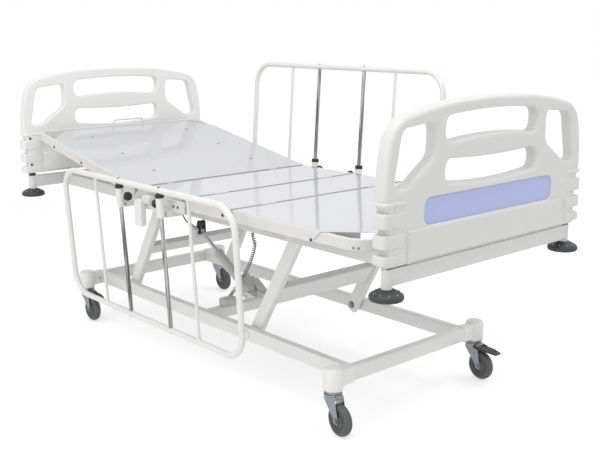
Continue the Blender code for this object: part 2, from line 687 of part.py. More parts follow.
def build_upper_frame():
    frame = box(-END_X, END_X, -FRAME_HALF_WIDTH, -RAIL_INNER, UPPER_BOTTOM, UPPER_TOP)
    bars = [box(-END_X, END_X, RAIL_INNER, FRAME_HALF_WIDTH, UPPER_BOTTOM, UPPER_TOP)]
    post_foot = UPPER_BOTTOM - POST_DROP
    for end in (-1, 1):
        x = end * END_X
        bars.append(box(x - TUBE_WIDTH / 2, x + TUBE_WIDTH / 2, -POST_Y, POST_Y,
                        UPPER_TOP - CROSSBAR_HEIGHT, UPPER_TOP))
        for side in (-1, 1):
            y = side * POST_Y
            post = turned([(0, post_foot - BUMPER_PIN_LENGTH),
                           (BUMPER_PIN_RADIUS, post_foot - BUMPER_PIN_LENGTH),
                           (BUMPER_PIN_RADIUS, post_foot),
                           (POST_RADIUS, post_foot), (POST_RADIUS, UPPER_TOP),
                           (COLLAR_RADIUS, UPPER_TOP), (COLLAR_RADIUS, UPPER_TOP + COLLAR_HEIGHT),
                           (SPIGOT_RADIUS, UPPER_TOP + COLLAR_HEIGHT),
                           (SPIGOT_RADIUS, UPPER_TOP + COLLAR_HEIGHT + SPIGOT_LENGTH - 0.004),
                           (SPIGOT_RADIUS - 0.004, UPPER_TOP + COLLAR_HEIGHT + SPIGOT_LENGTH),
                           (0, UPPER_TOP + COLLAR_HEIGHT + SPIGOT_LENGTH)], 12)
            bars.append(moved(post, Matrix.Translation((x, y, 0.0))))
    inside = RAIL_INNER + TUBE_WIDTH / 2
    bars.append(box(MEMBER_X - 0.015, MEMBER_X + 0.015, -inside, inside, UPPER_BOTTOM,
                    UPPER_BOTTOM + 0.030))
    for x in (DRIVE_X0 + 0.030, DRIVE_X1 - 0.030):
        bars.append(box(x - 0.020, x + 0.020, -inside, inside, UPPER_BOTTOM, TRAY_TOP))
    low = OUTRIGGER_TOP - OUTRIGGER
    lean = math.tan(RAIL_LEAN)
    for side in (-1, 1):
        reach = RAIL_Y - lean * (BUSH_TOP - low) - SLEEVE_RADIUS / math.cos(RAIL_LEAN) - GAP
        near, far = sorted((side * (RIB_OUT + 0.002), side * reach))
        for x in (RAIL_X - ROD_SPREAD, RAIL_X + ROD_SPREAD):
            bars.append(box(x - OUTRIGGER / 2, x + OUTRIGGER / 2, near, far, low, OUTRIGGER_TOP))
    thick = HANG_BAR_THICKNESS / 2
    bars.append(box(RAIL_X - ROD_SPREAD, RAIL_X + ROD_SPREAD, -HANG_BAR_Y - thick, -HANG_BAR_Y + thick,
                    HANG_TOP - HANG_BAR_HEIGHT, HANG_TOP))
    stub = turned([(0, 0), (0.009, 0.002), (0.015, 0.008), (0.017, 0.016), (0.017, 0.060), (0, 0.060)], 12)
    moved(stub, Matrix.Rotation(math.pi / 2, 4, "Y"))
    place = (RAIL_X - 0.010, -HANG_BAR_Y - 0.006, HANG_TOP + 0.0145)
    bars.append(moved(stub, Matrix.Translation(place)))
    frame = joined(frame, *bars)
    holes = []
    for x in (HEAD_PIVOT_X + ARM_RUN, FOOT_PIVOT_X + ARM_RUN):
        for side in (-1, 1):
            holes.append(rod((x, side * (RAIL_INNER - 0.01), UPPER_MID),
                             (x, side * (FRAME_HALF_WIDTH + 0.01), UPPER_MID), PIN_RADIUS + RUN, 12))
    return piece("upper_frame", cut(frame, *holes), WHITE, UPPER)


def build_bumpers():
    top = UPPER_BOTTOM - POST_DROP - GAP
    foot = top - BUMPER_THICKNESS
    r = BUMPER_RADIUS
    bore = BUMPER_PIN_RADIUS + RUN
    deep = BUMPER_PIN_LENGTH + 0.002
    first = None
    for end, x in (("head", -END_X), ("foot", END_X)):
        for name, side in sides():
            seat = axis(f"bumper_seat_{name}_{end}", UPPER, (x, side * POST_Y, foot))
            if first is None:
                h = BUMPER_THICKNESS
                crown = BUMPER_CROWN_RADIUS
                disc = turned([(0, 0), (r - 0.006, 0), (r, 0.005), (r, BUMPER_RIM),
                               (crown, h), (bore, h), (bore, h - deep), (0, h - deep)], 16)
                first = piece(f"bumper_{name}_{end}", disc, SLATE, seat)
            else:
                twin(f"bumper_{name}_{end}", first, seat)


def board_outline():
    """Outer edge of an end board, across and up from the middle of its foot."""
    waist = RIB_BLOCK_OUT - GROOVE_DEPTH
    half = [(waist, 0.0), (waist, 0.130), (BOARD_HALF_WIDTH, 0.180), (BOARD_HALF_WIDTH - 0.004, 0.26)]
    half += bend((BOARD_HALF_WIDTH - 0.016, 0.330), (BOARD_HALF_WIDTH - 0.026, BOARD_TOP - 0.048),
                 (BOARD_HALF_WIDTH - 0.090, BOARD_TOP - 0.037), 5)
    edge = BOARD_HALF_WIDTH - 0.090
    for i in range(1, 5):
        y = edge * (1 - i / 4)
        half.append((y, BOARD_TOP - 0.037 * (y / edge) ** 2))
    return half + [(-y, z) for y, z in reversed(half[:-1])]


def arched_slot(half_length, top, bottom, top_sag, bottom_sag):
    """A long slot whose edges bow by the sags at its ends."""
    flat = half_length - (top - bottom) * 0.45
    upper = [(flat * t, top - top_sag * t * t) for t in (0.92, 0.0, -0.92)]
    lower = [(flat * t, bottom - bottom_sag * t * t) for t in (-0.92, 0.0, 0.92)]
    middle = (top + bottom - (top_sag + bottom_sag)) / 2
    left = bend(upper[-1], (-half_length, upper[-1][1]), (-half_length, middle), 3)[1:]
    left += bend((-half_length, middle), (-half_length, lower[0][1]), lower[0], 3)[1:-1]
    right = bend(lower[-1], (half_length, lower[-1][1]), (half_length, middle), 3)[1:]
    right += bend((half_length, middle), (half_length, upper[0][1]), upper[0], 3)[1:-1]
    return upper + left + lower + right


def board_holes():
    top = BOARD_TOP
    holes = [arched_slot(0.224, top - 0.039, top - 0.112, 0.008, 0.011),
             arched_slot(0.222, top - 0.182, top - 0.255, -0.007, -0.010)]
    side = rounded([(0.269, top - 0.160), (0.269, top - 0.062), (0.404, top - 0.074),
                    (0.438, top - 0.240), (0.384, top - 0.240)], 0.026, 3)
    holes += [side, [(-y, z) for y, z in reversed(side)]]
    return holes


def build_boards():
    half = BOARD_THICKNESS / 2
    board = rimmed_plate(board_outline(), board_holes(), half, BOARD_EDGE)
    ribs = []
    grooves = [0.001, 0.030, 0.047, 0.087, 0.103, 0.147, 0.163, 0.170]
    for side in (-1, 1):
        low, high = sorted((side * RIB_BLOCK_IN, side * RIB_BLOCK_OUT))
        for z0, z1 in zip(grooves[::2], grooves[1::2]):
            shape = rounded([(low, -half - RIB_BLOCK_BULGE), (high, -half - RIB_BLOCK_BULGE),
                             (high, half + RIB_BLOCK_BULGE), (low, half + RIB_BLOCK_BULGE)], 0.014, 2)
            rib = plate(shape, z0, z1)
            ribs.append(moved(rib, Matrix.Rotation(-math.pi / 2, 4, "X")))
    board = joined(board, *ribs)
    long = INSET_HALF_LENGTH
    frame = rounded([(-long, INSET_LOW), (long, INSET_LOW), (long, INSET_HIGH), (-long, INSET_HIGH)],
                    0.025, 3)
    tools = [plate(frame, half - INSET_DEPTH - GAP, half + 0.02)]
    for side in (-1, 1):
        tools.append(rod((side * POST_Y, -0.02, 0.0),
                         (side * POST_Y, SPIGOT_LENGTH + 0.002, 0.0), SPIGOT_RADIUS + RUN))
    board = cut(board, *tools)
    stand = Matrix(((0, 0, 1, 0), (1, 0, 0, 0), (0, 1, 0, 0), (0, 0, 0, 1)))
    moved(board, stand)
    foot = axis("foot_board_seat", UPPER, (END_X, 0.0, BOARD_FOOT))
    head = axis("head_board_seat", UPPER, (-END_X, 0.0, BOARD_FOOT), (0.0, 0.0, math.pi))
    first = piece("foot_board", board, IVORY, foot)
    twin("head_board", first, head)
    long -= GAP
    low, high = INSET_LOW + GAP, INSET_HIGH - GAP
    inner = rounded([(-long, low), (long, low), (long, high), (-long, high)], 0.025, 3)
    strip = plate(inner, half - INSET_DEPTH, half - 0.0005)
    piece("foot_board_inset", moved(strip, stand), BLUE, foot)


def rail_loop():
    """The loop with its two thin bars, about the middle of its top tube."""
    r = RAIL_CORNER
    wide = RAIL_HALF_LENGTH
    path = []
    for centre, start in (((wide - r, -r), 90), ((wide - r, -RAIL_HEIGHT + r), 0),
                          ((-wide + r, -RAIL_HEIGHT + r), -90), ((-wide + r, -r), -180)):
        path += arc(centre, r, start, start - 90, 5)
    loop = tube([(x, 0.0, z) for x, z in path], RAIL_RADIUS, 2, True)
    bars = [rod((side * BAR_SPREAD, 0, 0), (side * BAR_SPREAD, 0, -RAIL_HEIGHT), BAR_RADIUS, 8)
            for side in (-1, 1)]
    return joined(loop, *bars)


def sleeve_tube():
    """Guide for one rod, along local Z down from its top, with a boss towards +X."""
    body = rod((0, 0, -SLEEVE_LENGTH), (0, 0, 0), SLEEVE_RADIUS, 14)
    level = -SLEEVE_LENGTH * 0.45
    reach = SLEEVE_RADIUS + BOSS_LENGTH
    boss = rod((SLEEVE_RADIUS - 0.004, 0, level), (reach, 0, level), BOSS_RADIUS, 10)
    bore = rod((0, 0, -SLEEVE_LENGTH - 0.01), (0, 0, 0.01), ROD_RADIUS + RUN, 12)
    hole = rod((0.002, 0, level), (reach + 0.01, 0, level), PLUNGER_RADIUS + RUN, 8)
    return cut(joined(body, boss), bore, hole)


def plunger():
    """Spring catch, about the outer face of its boss, pulled along +X."""
    shank = SLEEVE_RADIUS + BOSS_LENGTH - ROD_RADIUS - RUN - GAP
    catch = turned([(0, -shank), (PLUNGER_RADIUS, -shank), (PLUNGER_RADIUS, GAP),
                    (KNOB_RADIUS * 0.7, GAP), (KNOB_RADIUS, 0.004), (KNOB_RADIUS, KNOB_LENGTH - 0.005),
                    (KNOB_RADIUS - 0.005, KNOB_LENGTH), (0, KNOB_LENGTH)], 10)
    return moved(catch, Matrix.Rotation(math.pi / 2, 4, "Y"))


def build_side_rails():
    shared = {}

    def same(kind, name, build, material, parent):
        if kind in shared:
            twin(name, shared[kind], parent)
        else:
            shared[kind] = piece(name, build(), material, parent)

    for name, side in sides():
        lean = (-side * RAIL_LEAN, 0.0, 0.0)
        guide = axis(f"rail_guide_{name}", UPPER, (RAIL_X, side * RAIL_Y, BUSH_TOP), lean)
        lift = RAIL_TRAVEL if side > 0 else 0.0
        slide = axis(f"rail_slide_{name}", guide, (0.0, 0.0, RAIL_REST + lift))
        same("loop", f"side_rail_{name}", rail_loop, WHITE, slide)
        for end, way in (("head", -1), ("foot", 1)):
            x = way * ROD_SPREAD
            mark = f"{name}_{end}"
            stand = axis(f"rail_rod_seat_{mark}", slide, (x, 0.0, 0.0))
            same("rod", f"rail_rod_{mark}",
                 lambda: rod((0, 0, -RAIL_HEIGHT + RAIL_REST), (0, 0, -RAIL_REST), ROD_RADIUS, 12),
                 CHROME, stand)
            top = axis(f"sleeve_seat_{mark}", guide, (x, 0.0, -BUSH_HEIGHT - GAP),
                       (0.0, 0.0, math.pi if way > 0 else 0.0))
            same("sleeve", f"rail_sleeve_{mark}", sleeve_tube, WHITE, top)
            bush = [(ROD_RADIUS + RUN, GAP), (BUSH_RADIUS, GAP), (BUSH_RADIUS, BUSH_HEIGHT - 0.003),
                    (BUSH_RADIUS - 0.003, BUSH_HEIGHT), (ROD_RADIUS + RUN, BUSH_HEIGHT)]
            same("bush", f"rail_bush_{mark}", lambda: turned(bush, 12), BLACK, top)
            pull = axis(f"plunger_axis_{mark}", top,
                        (SLEEVE_RADIUS + BOSS_LENGTH, 0.0, -SLEEVE_LENGTH * 0.45))
            same("plunger", f"rail_plunger_{mark}", plunger, BLACK, pull)


def deck_section(length, half_width, rib_out, start, end, chamfer=0.0, apron_end=None):
    """Sheet with aprons and ribs, running along +X from a hinge at the middle of the sheet."""
    under = -SHEET / 2
    far = length - end
    free_end = [(far, -half_width), (far, half_width)]
    if chamfer:
        free_end = [(far - chamfer, -half_width), (far, -half_width + chamfer),
                    (far, half_width - chamfer), (far - chamfer, half_width)]
    sheet = plate([(start, -half_width), *free_end, (start, half_width)], under, SHEET / 2)
    stop = far if apron_end is None else apron_end
    bars = []
    for side in (-1, 1):
        low, high = sorted((side * (half_width - 0.002), side * half_width))
        bars.append(box(start + 0.002, stop - 0.002, low, high, under - APRON + SHEET, under + 0.001))
        low, high = sorted((side * (rib_out - RIB_WIDTH), side * rib_out))
        bars.append(box(start + 0.012, stop - 0.012, low, high, under - RIB_HEIGHT, under + 0.001))
    return joined(sheet, *bars)


def lever_cheeks(tip, foot, y):
    """Two plates from a cross tube to a push rod's end."""
    cheeks = []
    for side in (-1, 1):
        low, high = sorted((y + side * (PUSH_RADIUS + 0.002), y + side * (PUSH_RADIUS + 0.008)))
        cheeks.append(upright(plate(capsule(foot, tip, 0.012, LEVER_END, 4), -high, -low)))
    return cheeks


def knuckles(x, way):
    """Pins for the fixed section at x, and barrels and bores for the one that turns there.

    The turning section lies towards the way, +1 or -1 along X.
    """
    pins, barrels, bores = [], [], []
    for y in (-HINGE_Y, HINGE_Y):
        split = y + GAP
        far = split + BARREL_LENGTH
        tab = SECTION_GAP / 2 + 0.006
        pins.append(rod((0, y - BARREL_LENGTH, 0), (0, y, 0), BARREL_RADIUS, 10))
        pins.append(rod((0, y - 0.004, 0), (0, far - 0.002, 0), HINGE_PIN_RADIUS, 6))
        low, high = sorted((0.0, -way * tab))
        pins.append(box(low, high, y - BARREL_LENGTH, y, -SHEET / 2 - 0.002, -SHEET / 2 + 0.001))
        barrels.append(rod((0, split, 0), (0, far, 0), BARREL_RADIUS, 10))
        low, high = sorted((0.0, way * tab))
        barrels.append(box(low, high, split, far, -SHEET / 2 - 0.002, -SHEET / 2 + 0.001))
        bores.append(rod((0, split - 0.01, 0), (0, far + 0.01, 0), HINGE_PIN_RADIUS + RUN, 8))
    shift = Matrix.Translation((x, 0.0, 0.0))
    return [moved(p, shift) for p in pins], barrels, bores


def u_bar(start, length, half_width, r):
    """Bent flat bar round the free end of a section, with corners of radius r."""
    t = BAR_THICKNESS
    outer = [(start, -half_width)] + arc((length - r, -half_width + r), r, -90, 0, 6)
    outer += arc((length - r, half_width - r), r, 0, 90, 6) + [(start, half_width)]
    inner = [(start, half_width - t)] + arc((length - r, half_width - r), r - t, 90, 0, 6)
    inner += arc((length - r, -half_width + r), r - t, 0, -90, 6) + [(start, -half_width + t)]
    return plate(outer + inner, -SHEET / 2 - GAP - BAR_HEIGHT, -SHEET / 2 - GAP)


def build_deck():
    edge = SECTION_GAP / 2
    inside = DECK_HALF_WIDTH - 0.002 - GAP
    back_axis = axis("backrest_axis", UPPER, (BACK_HINGE_X, 0.0, HINGE_Z), (0.0, BACKREST_ANGLE, 0.0))
    seat_axis = axis("seat_seat", UPPER, (BACK_HINGE_X, 0.0, HINGE_Z))
    thigh_axis = axis("thigh_axis", UPPER, (THIGH_HINGE_X, 0.0, HINGE_Z))
    foot_axis = axis("foot_section_axis", thigh_axis, (THIGH_LENGTH, 0.0, 0.0))

    back_pins, back_barrels, back_bores = knuckles(0.0, -1)
    thigh_pins, thigh_barrels, thigh_bores = knuckles(SEAT_LENGTH, 1)
    foot_pins, foot_barrels, foot_bores = knuckles(THIGH_LENGTH, 1)

    seat = deck_section(SEAT_LENGTH, DECK_HALF_WIDTH, RIB_OUT, edge, edge)
    piece("seat_panel", joined(seat, *back_pins, *thigh_pins), SHEET_WHITE, seat_axis)

    reach = BACKREST_LENGTH - HEAD_BAR_BEYOND
    back = deck_section(reach, DECK_HALF_WIDTH, RIB_OUT, edge, 0.0, CORNER_CHAMFER,
                        reach - CORNER_CHAMFER)
    moved(back, Matrix.Rotation(math.pi, 4, "Z"))
    tip = (LEVER * math.sin(BACK_LEVER_LEAN), -LEVER * math.cos(BACK_LEVER_LEAN))
    tie = box(-0.060, -0.030, -RAIL_INNER - 0.010, RAIL_INNER + 0.010, -0.032, -SHEET / 2 + 0.001)
    back = joined(back, tie, *back_barrels, *lever_cheeks(tip, (-0.045, -0.020), -PUSH_Y))
    piece("backrest_panel", cut(back, *back_bores), SHEET_WHITE, back_axis)
    bar = u_bar(0.030, BACKREST_LENGTH, inside, HEAD_BAR_CORNER)
    piece("backrest_frame", moved(bar, Matrix.Rotation(math.pi, 4, "Z")), WHITE, back_axis)

    thigh = deck_section(THIGH_LENGTH, DECK_HALF_WIDTH, RIB_OUT, edge, edge)
    tip = (-LEVER * math.sin(LEG_LEVER_LEAN), -LEVER * math.cos(LEG_LEVER_LEAN))
    tie = box(0.024, 0.050, -RAIL_INNER - 0.010, RAIL_INNER + 0.010, -0.032, -SHEET / 2 + 0.001)
    thigh = joined(thigh, tie, *foot_pins, *thigh_barrels, *lever_cheeks(tip, (0.036, -0.020), PUSH_Y))
    piece("thigh_panel", cut(thigh, *thigh_bores), SHEET_WHITE, thigh_axis)

    reach = FOOT_LENGTH - FOOT_BAR_BEYOND
    foot = deck_section(reach, inside, RIB_OUT - RIB_WIDTH - GAP, edge, 0.0, CORNER_CHAMFER,
                        reach - CORNER_CHAMFER)
    piece("foot_panel", cut(joined(foot, *foot_barrels), *foot_bores), SHEET_WHITE, foot_axis)
    bar = u_bar(0.060, FOOT_LENGTH, inside - 0.002 - GAP, FOOT_BAR_CORNER)
    piece("foot_section_frame", bar, WHITE, foot_axis)

    x = -BACKREST_LENGTH + HEAD_BAR_BEYOND + 0.012
    z = SHEET / 2 + GAP
    corner = 0.018
    high = STOP_HEIGHT - STOP_RADIUS
    wide = STOP_HALF_WIDTH
    path = [(-wide, 0.0)] + arc((-wide + corner, high - corner), corner, 180, 90, 4)
    path += arc((wide - corner, high - corner), corner, 90, 0, 4) + [(wide, 0.0)]
    wire = tube([(x, y, z + up) for y, up in path], STOP_RADIUS, 2)
    piece("mattress_stop", wire, CHROME, back_axis)


def build_lift():
    turn = (0.0, -LIFT_SLOPE, 0.0)
    motor_axis = axis("lift_motor_axis", ORIGIN, LIFT_PIN, turn)
    rod_axis = axis("lift_rod_axis", motor_axis, (LIFT_REACH, 0.0, 0.0))
    wide = CHEEK_GAP
    body = rod((0, -wide, 0), (0, wide, 0), TAIL_RADIUS, 16)
    parts = [box(GEARBOX_START, GEARBOX_END, -wide, wide - 0.001, -GEARBOX_HALF, GEARBOX_HALF),
             box(MOTOR_BLOCK_START, MOTOR_BLOCK_END, 0.0, wide + MOTOR_BLOCK_ASIDE, -MOTOR_BLOCK_HALF,
                 MOTOR_BLOCK_HALF),
             rod((ACTUATOR_TUBE_START, 0, 0), (ACTUATOR_TUBE_END, 0, 0), ACTUATOR_TUBE, 20),
             rod((ACTUATOR_TUBE_START, wide + MOTOR_ASIDE, 0), (MOTOR_END, wide + MOTOR_ASIDE, 0),
                 MOTOR_RADIUS, 18),
             rod((0, -wide - CHEEK - 0.004, 0), (0, wide + CHEEK + 0.004, 0), LIFT_PIN_RADIUS, 12)]
    bore = rod((ROD_BORE_START, 0, 0), (ACTUATOR_TUBE_END + 0.02, 0, 0), LIFT_ROD_RADIUS + RUN, 14)
    piece("lift_motor", cut(joined(body, *parts), bore), GREY, motor_axis)
    shaft = rod((LIFT_ROD_INNER - LIFT_REACH, 0, 0), (-EYE_RADIUS + 0.004, 0, 0), LIFT_ROD_RADIUS, 14)
    thin = CHEEK_GAP / 2 - 0.001
    eye = rod((0, -thin, 0), (0, thin, 0), EYE_RADIUS, 16)
    piece("lift_rod", joined(shaft, eye), CHROME, rod_axis)


def build_drive():
    floor = TRAY_TOP + GAP
    seat = axis("drive_seat", UPPER, (0.0, 0.0, floor))
    level = PUSH_Z - floor
    house = box(DRIVE_X0, DRIVE_X1, -DRIVE_HALF_WIDTH, DRIVE_HALF_WIDTH, 0.0, DRIVE_HEIGHT)
    bevel = house.modifiers.new("Bevel", "BEVEL")
    bevel.width = 0.008
    bevel.segments = 2
    house = baked(house)
    back_tip = BACK_HINGE_X + LEVER * math.sin(BACK_LEVER_LEAN - BACKREST_ANGLE)
    leg_tip = THIGH_HINGE_X - LEVER * math.sin(LEG_LEVER_LEAN)
    back_out = BACK_HINGE_X - LEVER * math.sin(BACK_LEVER_LEAN)
    leg_out = THIGH_HINGE_X + LEVER * math.sin(LEG_LEVER_LEAN)
    back_inner = DRIVE_X0 + 0.020 + (back_tip - back_out)
    leg_inner = DRIVE_X1 - 0.020 - (leg_out - leg_tip)
    bores = [rod((DRIVE_X0 - 0.02, -PUSH_Y, level), (back_inner + 0.020, -PUSH_Y, level),
                 PUSH_RADIUS + RUN, 12),
             rod((leg_inner - 0.004, PUSH_Y, level), (DRIVE_X1 + 0.02, PUSH_Y, level),
                 PUSH_RADIUS + RUN, 12)]
    piece("twin_drive", cut(house, *bores), GREY, seat)
    back_axis = axis("backrest_push_axis", seat, (back_tip, -PUSH_Y, level))
    leg_axis = axis("leg_push_axis", seat, (leg_tip, PUSH_Y, level))
    back_rod = rod((0, 0, 0), (back_inner - back_tip, 0, 0), PUSH_RADIUS, 12)
    piece("backrest_push_rod", back_rod, CHROME, back_axis)
    leg_rod = rod((0, 0, 0), (leg_inner - leg_tip, 0, 0), PUSH_RADIUS, 12)
    piece("leg_push_rod", leg_rod, CHROME, leg_axis)


def build_handset():
    hang = HANG_TOP + GAP
    face = -HANG_BAR_Y - HANG_BAR_THICKNESS / 2 - GAP
    seat = axis("handset_seat", UPPER, (HANDSET_X, face, hang))
    half = HANDSET_WIDTH / 2
    top = 0.017
    foot = top - HANDSET_HEIGHT
    body = box(-half, half, -HANDSET_THICKNESS, 0.0, foot, top)
    bevel = body.modifiers.new("Bevel", "BEVEL")
    bevel.width = 0.004
    bevel.segments = 2
    body = baked(body)
    behind = HANG_BAR_THICKNESS + 2 * GAP
    hook = [box(-0.012, 0.012, -0.006, behind + 0.003, 0.0, 0.003),
            box(-0.012, 0.012, behind, behind + 0.003, -0.014, 0.003)]
    pocket = box(-half + 0.008, half - 0.008, -HANDSET_THICKNESS - 0.01,
                 -HANDSET_THICKNESS + KEYPAD_DEPTH, foot + 0.020, top - 0.018)
    piece("handset", cut(joined(body, *hook), pocket), IVORY, seat)
    back = -HANDSET_THICKNESS + KEYPAD_DEPTH - KEYPAD_TRAVEL - GAP
    press = axis("handset_button_axis", seat, (0.0, back, 0.0))
    pad = box(-half + 0.0085, half - 0.0085, -0.0045, 0.0, foot + 0.0205, top - 0.0185)
    piece("handset_buttons", pad, GREY, press)


def curve_through(points, steps):
    """Points on a smooth curve through the given ones."""
    line = [Vector(p) for p in points]
    line = [2 * line[0] - line[1]] + line + [2 * line[-1] - line[-2]]
    path = []
    for a, b, c, d in zip(line, line[1:], line[2:], line[3:]):
        for i in range(steps):
            t = i / steps
            path.append(0.5 * (2 * b + (c - a) * t + (2 * a - 5 * b + 4 * c - d) * t * t
                               + (3 * b - a - 3 * c + d) * t ** 3))
    path.append(line[-2])
    return path


def even(path, count):
    """The same path as evenly spaced points."""
    lengths = [0.0]
    for a, b in zip(path, path[1:]):
        lengths.append(lengths[-1] + (b - a).length)
    places = []
    k = 0
    for i in range(count + 1):
        want = lengths[-1] * i / count
        while k < len(path) - 2 and lengths[k + 1] < want:
            k += 1
        share = (want - lengths[k]) / (lengths[k + 1] - lengths[k])
        places.append(path[k].lerp(path[k + 1], share))
    return places


def coiled(path, curls, per_curl, radius):
    """A coil round an evenly spaced path, with straight ends on the path."""
    count = curls * per_curl
    line = even(path, count)
    side = Vector((0.0, 1.0, 0.0))
    coil = []
    for i, place in enumerate(line):
        along = (line[min(i + 1, count)] - line[max(i - 1, 0)]).normalized()
        side = (side - along * side.dot(along)).normalized()
        other = along.cross(side)
        turn = math.tau * i / per_curl
        ease = min(1.0, i / (1.5 * per_curl), (count - i) / (1.5 * per_curl))
        spread = radius * ease
        coil.append(place + spread * (math.cos(turn) * side + math.sin(turn) * other))
    return coil


def build_cords():
    """The coiled motor lead between drive and lift, and the cable to the lift's fork."""
    inlet = (LIFT_PIN + 0.046 * Vector((math.cos(LIFT_SLOPE), 0.0, math.sin(LIFT_SLOPE)))
             + (0.026 + GAP) * Vector((-math.sin(LIFT_SLOPE), 0.0, math.cos(LIFT_SLOPE))))
    inlet.y = -0.006
    top = Vector((-0.050, 0.0, UPPER_BOTTOM - GAP))
    straight = 4 * CORD_RADIUS
    line = [top - Vector((0, 0, straight)), (-0.058, 0.0, 0.500), (-0.055, 0.0, 0.443),
            (-0.037, -0.005, 0.405),
            (-0.060, -0.018, 0.320), (-0.094, -0.038, 0.250), (-0.116, -0.056, 0.205),
            (-0.142, -0.060, 0.170), (-0.160, -0.040, 0.154),
            inlet + Vector((-0.016, -0.006, -0.024)), inlet + Vector((-0.0025, 0, -straight))]
    coil = coiled(curve_through(line, 12), CURLS, 8, COIL_RADIUS)
    swing = axis("lift_cord_axis", ORIGIN, inlet)
    lead = tube([top] + coil + [inlet], CORD_RADIUS, 1)
    piece("lift_cord", moved(lead, Matrix.Translation(-inlet)), CORD, swing)

    start = Vector((MEMBER_X + 0.006, -0.020, UPPER_BOTTOM - GAP))
    back = HEAD_BEAM_AT + HEAD_BEAM_DEPTH / 2 + 0.030
    goal = HEAD_PIVOT + back * ARM_ALONG + (LIFT_EYE_OFF / 2 + 0.0150) * ARM_ACROSS
    goal.y = -0.0125
    line = [start, start + Vector((0.004, 0, -0.030)), (-0.550, -0.020, 0.493), (-0.514, -0.020, 0.455),
            (-0.487, -0.020, 0.432), (-0.455, -0.018, 0.426), goal]
    cable = tube(curve_through(line, 4), CABLE_RADIUS, 1)
    piece("release_cable", cable, BLACK, ORIGIN)


UPPER = axis("upper_frame_axis", ORIGIN)
build_base()
build_casters()
build_arms()
build_upper_frame()
build_bumpers()
build_boards()
build_side_rails()
build_deck()
build_lift()
build_drive()
build_handset()
build_cords()
bpy.context.view_layer.update()
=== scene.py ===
# %% [markdown]
# # Dressing a hospital bed
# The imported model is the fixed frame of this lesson. It knows where every piece is and how it
# moves. This script gives each piece the rounded edges, fasteners and finishes that the real bed
# has.

# %% The frame
import math

import bmesh
import bpy
from mathutils import Matrix, Vector


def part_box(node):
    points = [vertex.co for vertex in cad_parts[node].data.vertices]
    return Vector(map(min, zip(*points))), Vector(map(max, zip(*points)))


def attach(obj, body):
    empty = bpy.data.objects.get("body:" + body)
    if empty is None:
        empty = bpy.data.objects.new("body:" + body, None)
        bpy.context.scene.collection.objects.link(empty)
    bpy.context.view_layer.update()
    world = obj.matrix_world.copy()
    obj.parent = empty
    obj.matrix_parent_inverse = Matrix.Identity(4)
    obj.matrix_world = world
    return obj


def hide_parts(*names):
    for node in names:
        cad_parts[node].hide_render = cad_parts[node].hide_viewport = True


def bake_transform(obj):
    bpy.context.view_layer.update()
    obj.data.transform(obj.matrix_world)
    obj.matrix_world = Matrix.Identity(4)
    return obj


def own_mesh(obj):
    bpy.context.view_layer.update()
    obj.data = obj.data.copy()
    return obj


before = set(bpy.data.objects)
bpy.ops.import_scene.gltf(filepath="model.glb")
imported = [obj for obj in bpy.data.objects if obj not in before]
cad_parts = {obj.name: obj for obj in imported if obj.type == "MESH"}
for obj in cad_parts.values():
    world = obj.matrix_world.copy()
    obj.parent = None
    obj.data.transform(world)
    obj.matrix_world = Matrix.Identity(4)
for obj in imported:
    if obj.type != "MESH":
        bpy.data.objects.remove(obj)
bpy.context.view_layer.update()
board_low, board_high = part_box("foot_board")
MID_Y = (board_low.y + board_high.y) / 2
BOARD_FOOT = board_low.z
ROW = Vector((0.0, MID_Y, 0.0))
SIDES = (("near", -1), ("far", 1))
ENDS = (("head", -1), ("foot", 1))

# %% [markdown]
# ## Camera
# The viewpoint was solved from the square corners of the frames, so lens, place and shift are
# plain numbers. The small shift keeps the picture's centre where the photograph has it.

# %% Camera
AZIMUTH, ELEVATION = math.radians(48.06), math.radians(12.18)
sight = bpy.data.cameras.new("viewpoint")
sight.lens, sight.sensor_width = 54.81, 36.0
sight.shift_x, sight.shift_y = -0.0052, -0.0038
sight.clip_end = 60.0
camera = bpy.data.objects.new("viewpoint", sight)
bpy.context.scene.collection.objects.link(camera)
backwards = Vector((math.sin(AZIMUTH) * math.cos(ELEVATION),
                    -math.cos(AZIMUTH) * math.cos(ELEVATION), math.sin(ELEVATION)))
camera.location = (2.7387, -2.2384 + MID_Y, 1.2648)
camera.rotation_mode = "QUATERNION"
camera.rotation_quaternion = (-backwards).to_track_quat("-Z", "Y")
bpy.context.scene.camera = camera
bpy.context.scene.view_settings.view_transform = "Standard"
print("lens", sight.lens, "mm")

# %% [markdown]
# ## Writing shaders as sums
# A finish is a small formula: a colour, plus a little noise, with a bump. Wiring nodes by hand
# hides that formula. The class Wire lets Python's own + - * and > build the Math nodes, so that
# each finish stays readable.

# %% Shader maths


def add_node(tree, kind, settings=None, sockets=None):
    """A node of a kind, with its settings first and then the values or links of its sockets."""
    node = tree.nodes.new(kind)
    for key, value in (settings or {}).items():
        setattr(node, key, value)
    for key, value in (sockets or {}).items():
        socket = next(s for s in node.inputs if s.enabled and key in (s.identifier, s.name))
        value = value.socket if isinstance(value, Wire) else value
        if isinstance(value, bpy.types.NodeSocket):
            tree.links.new(value, socket)
        else:
            socket.default_value = value
    return node


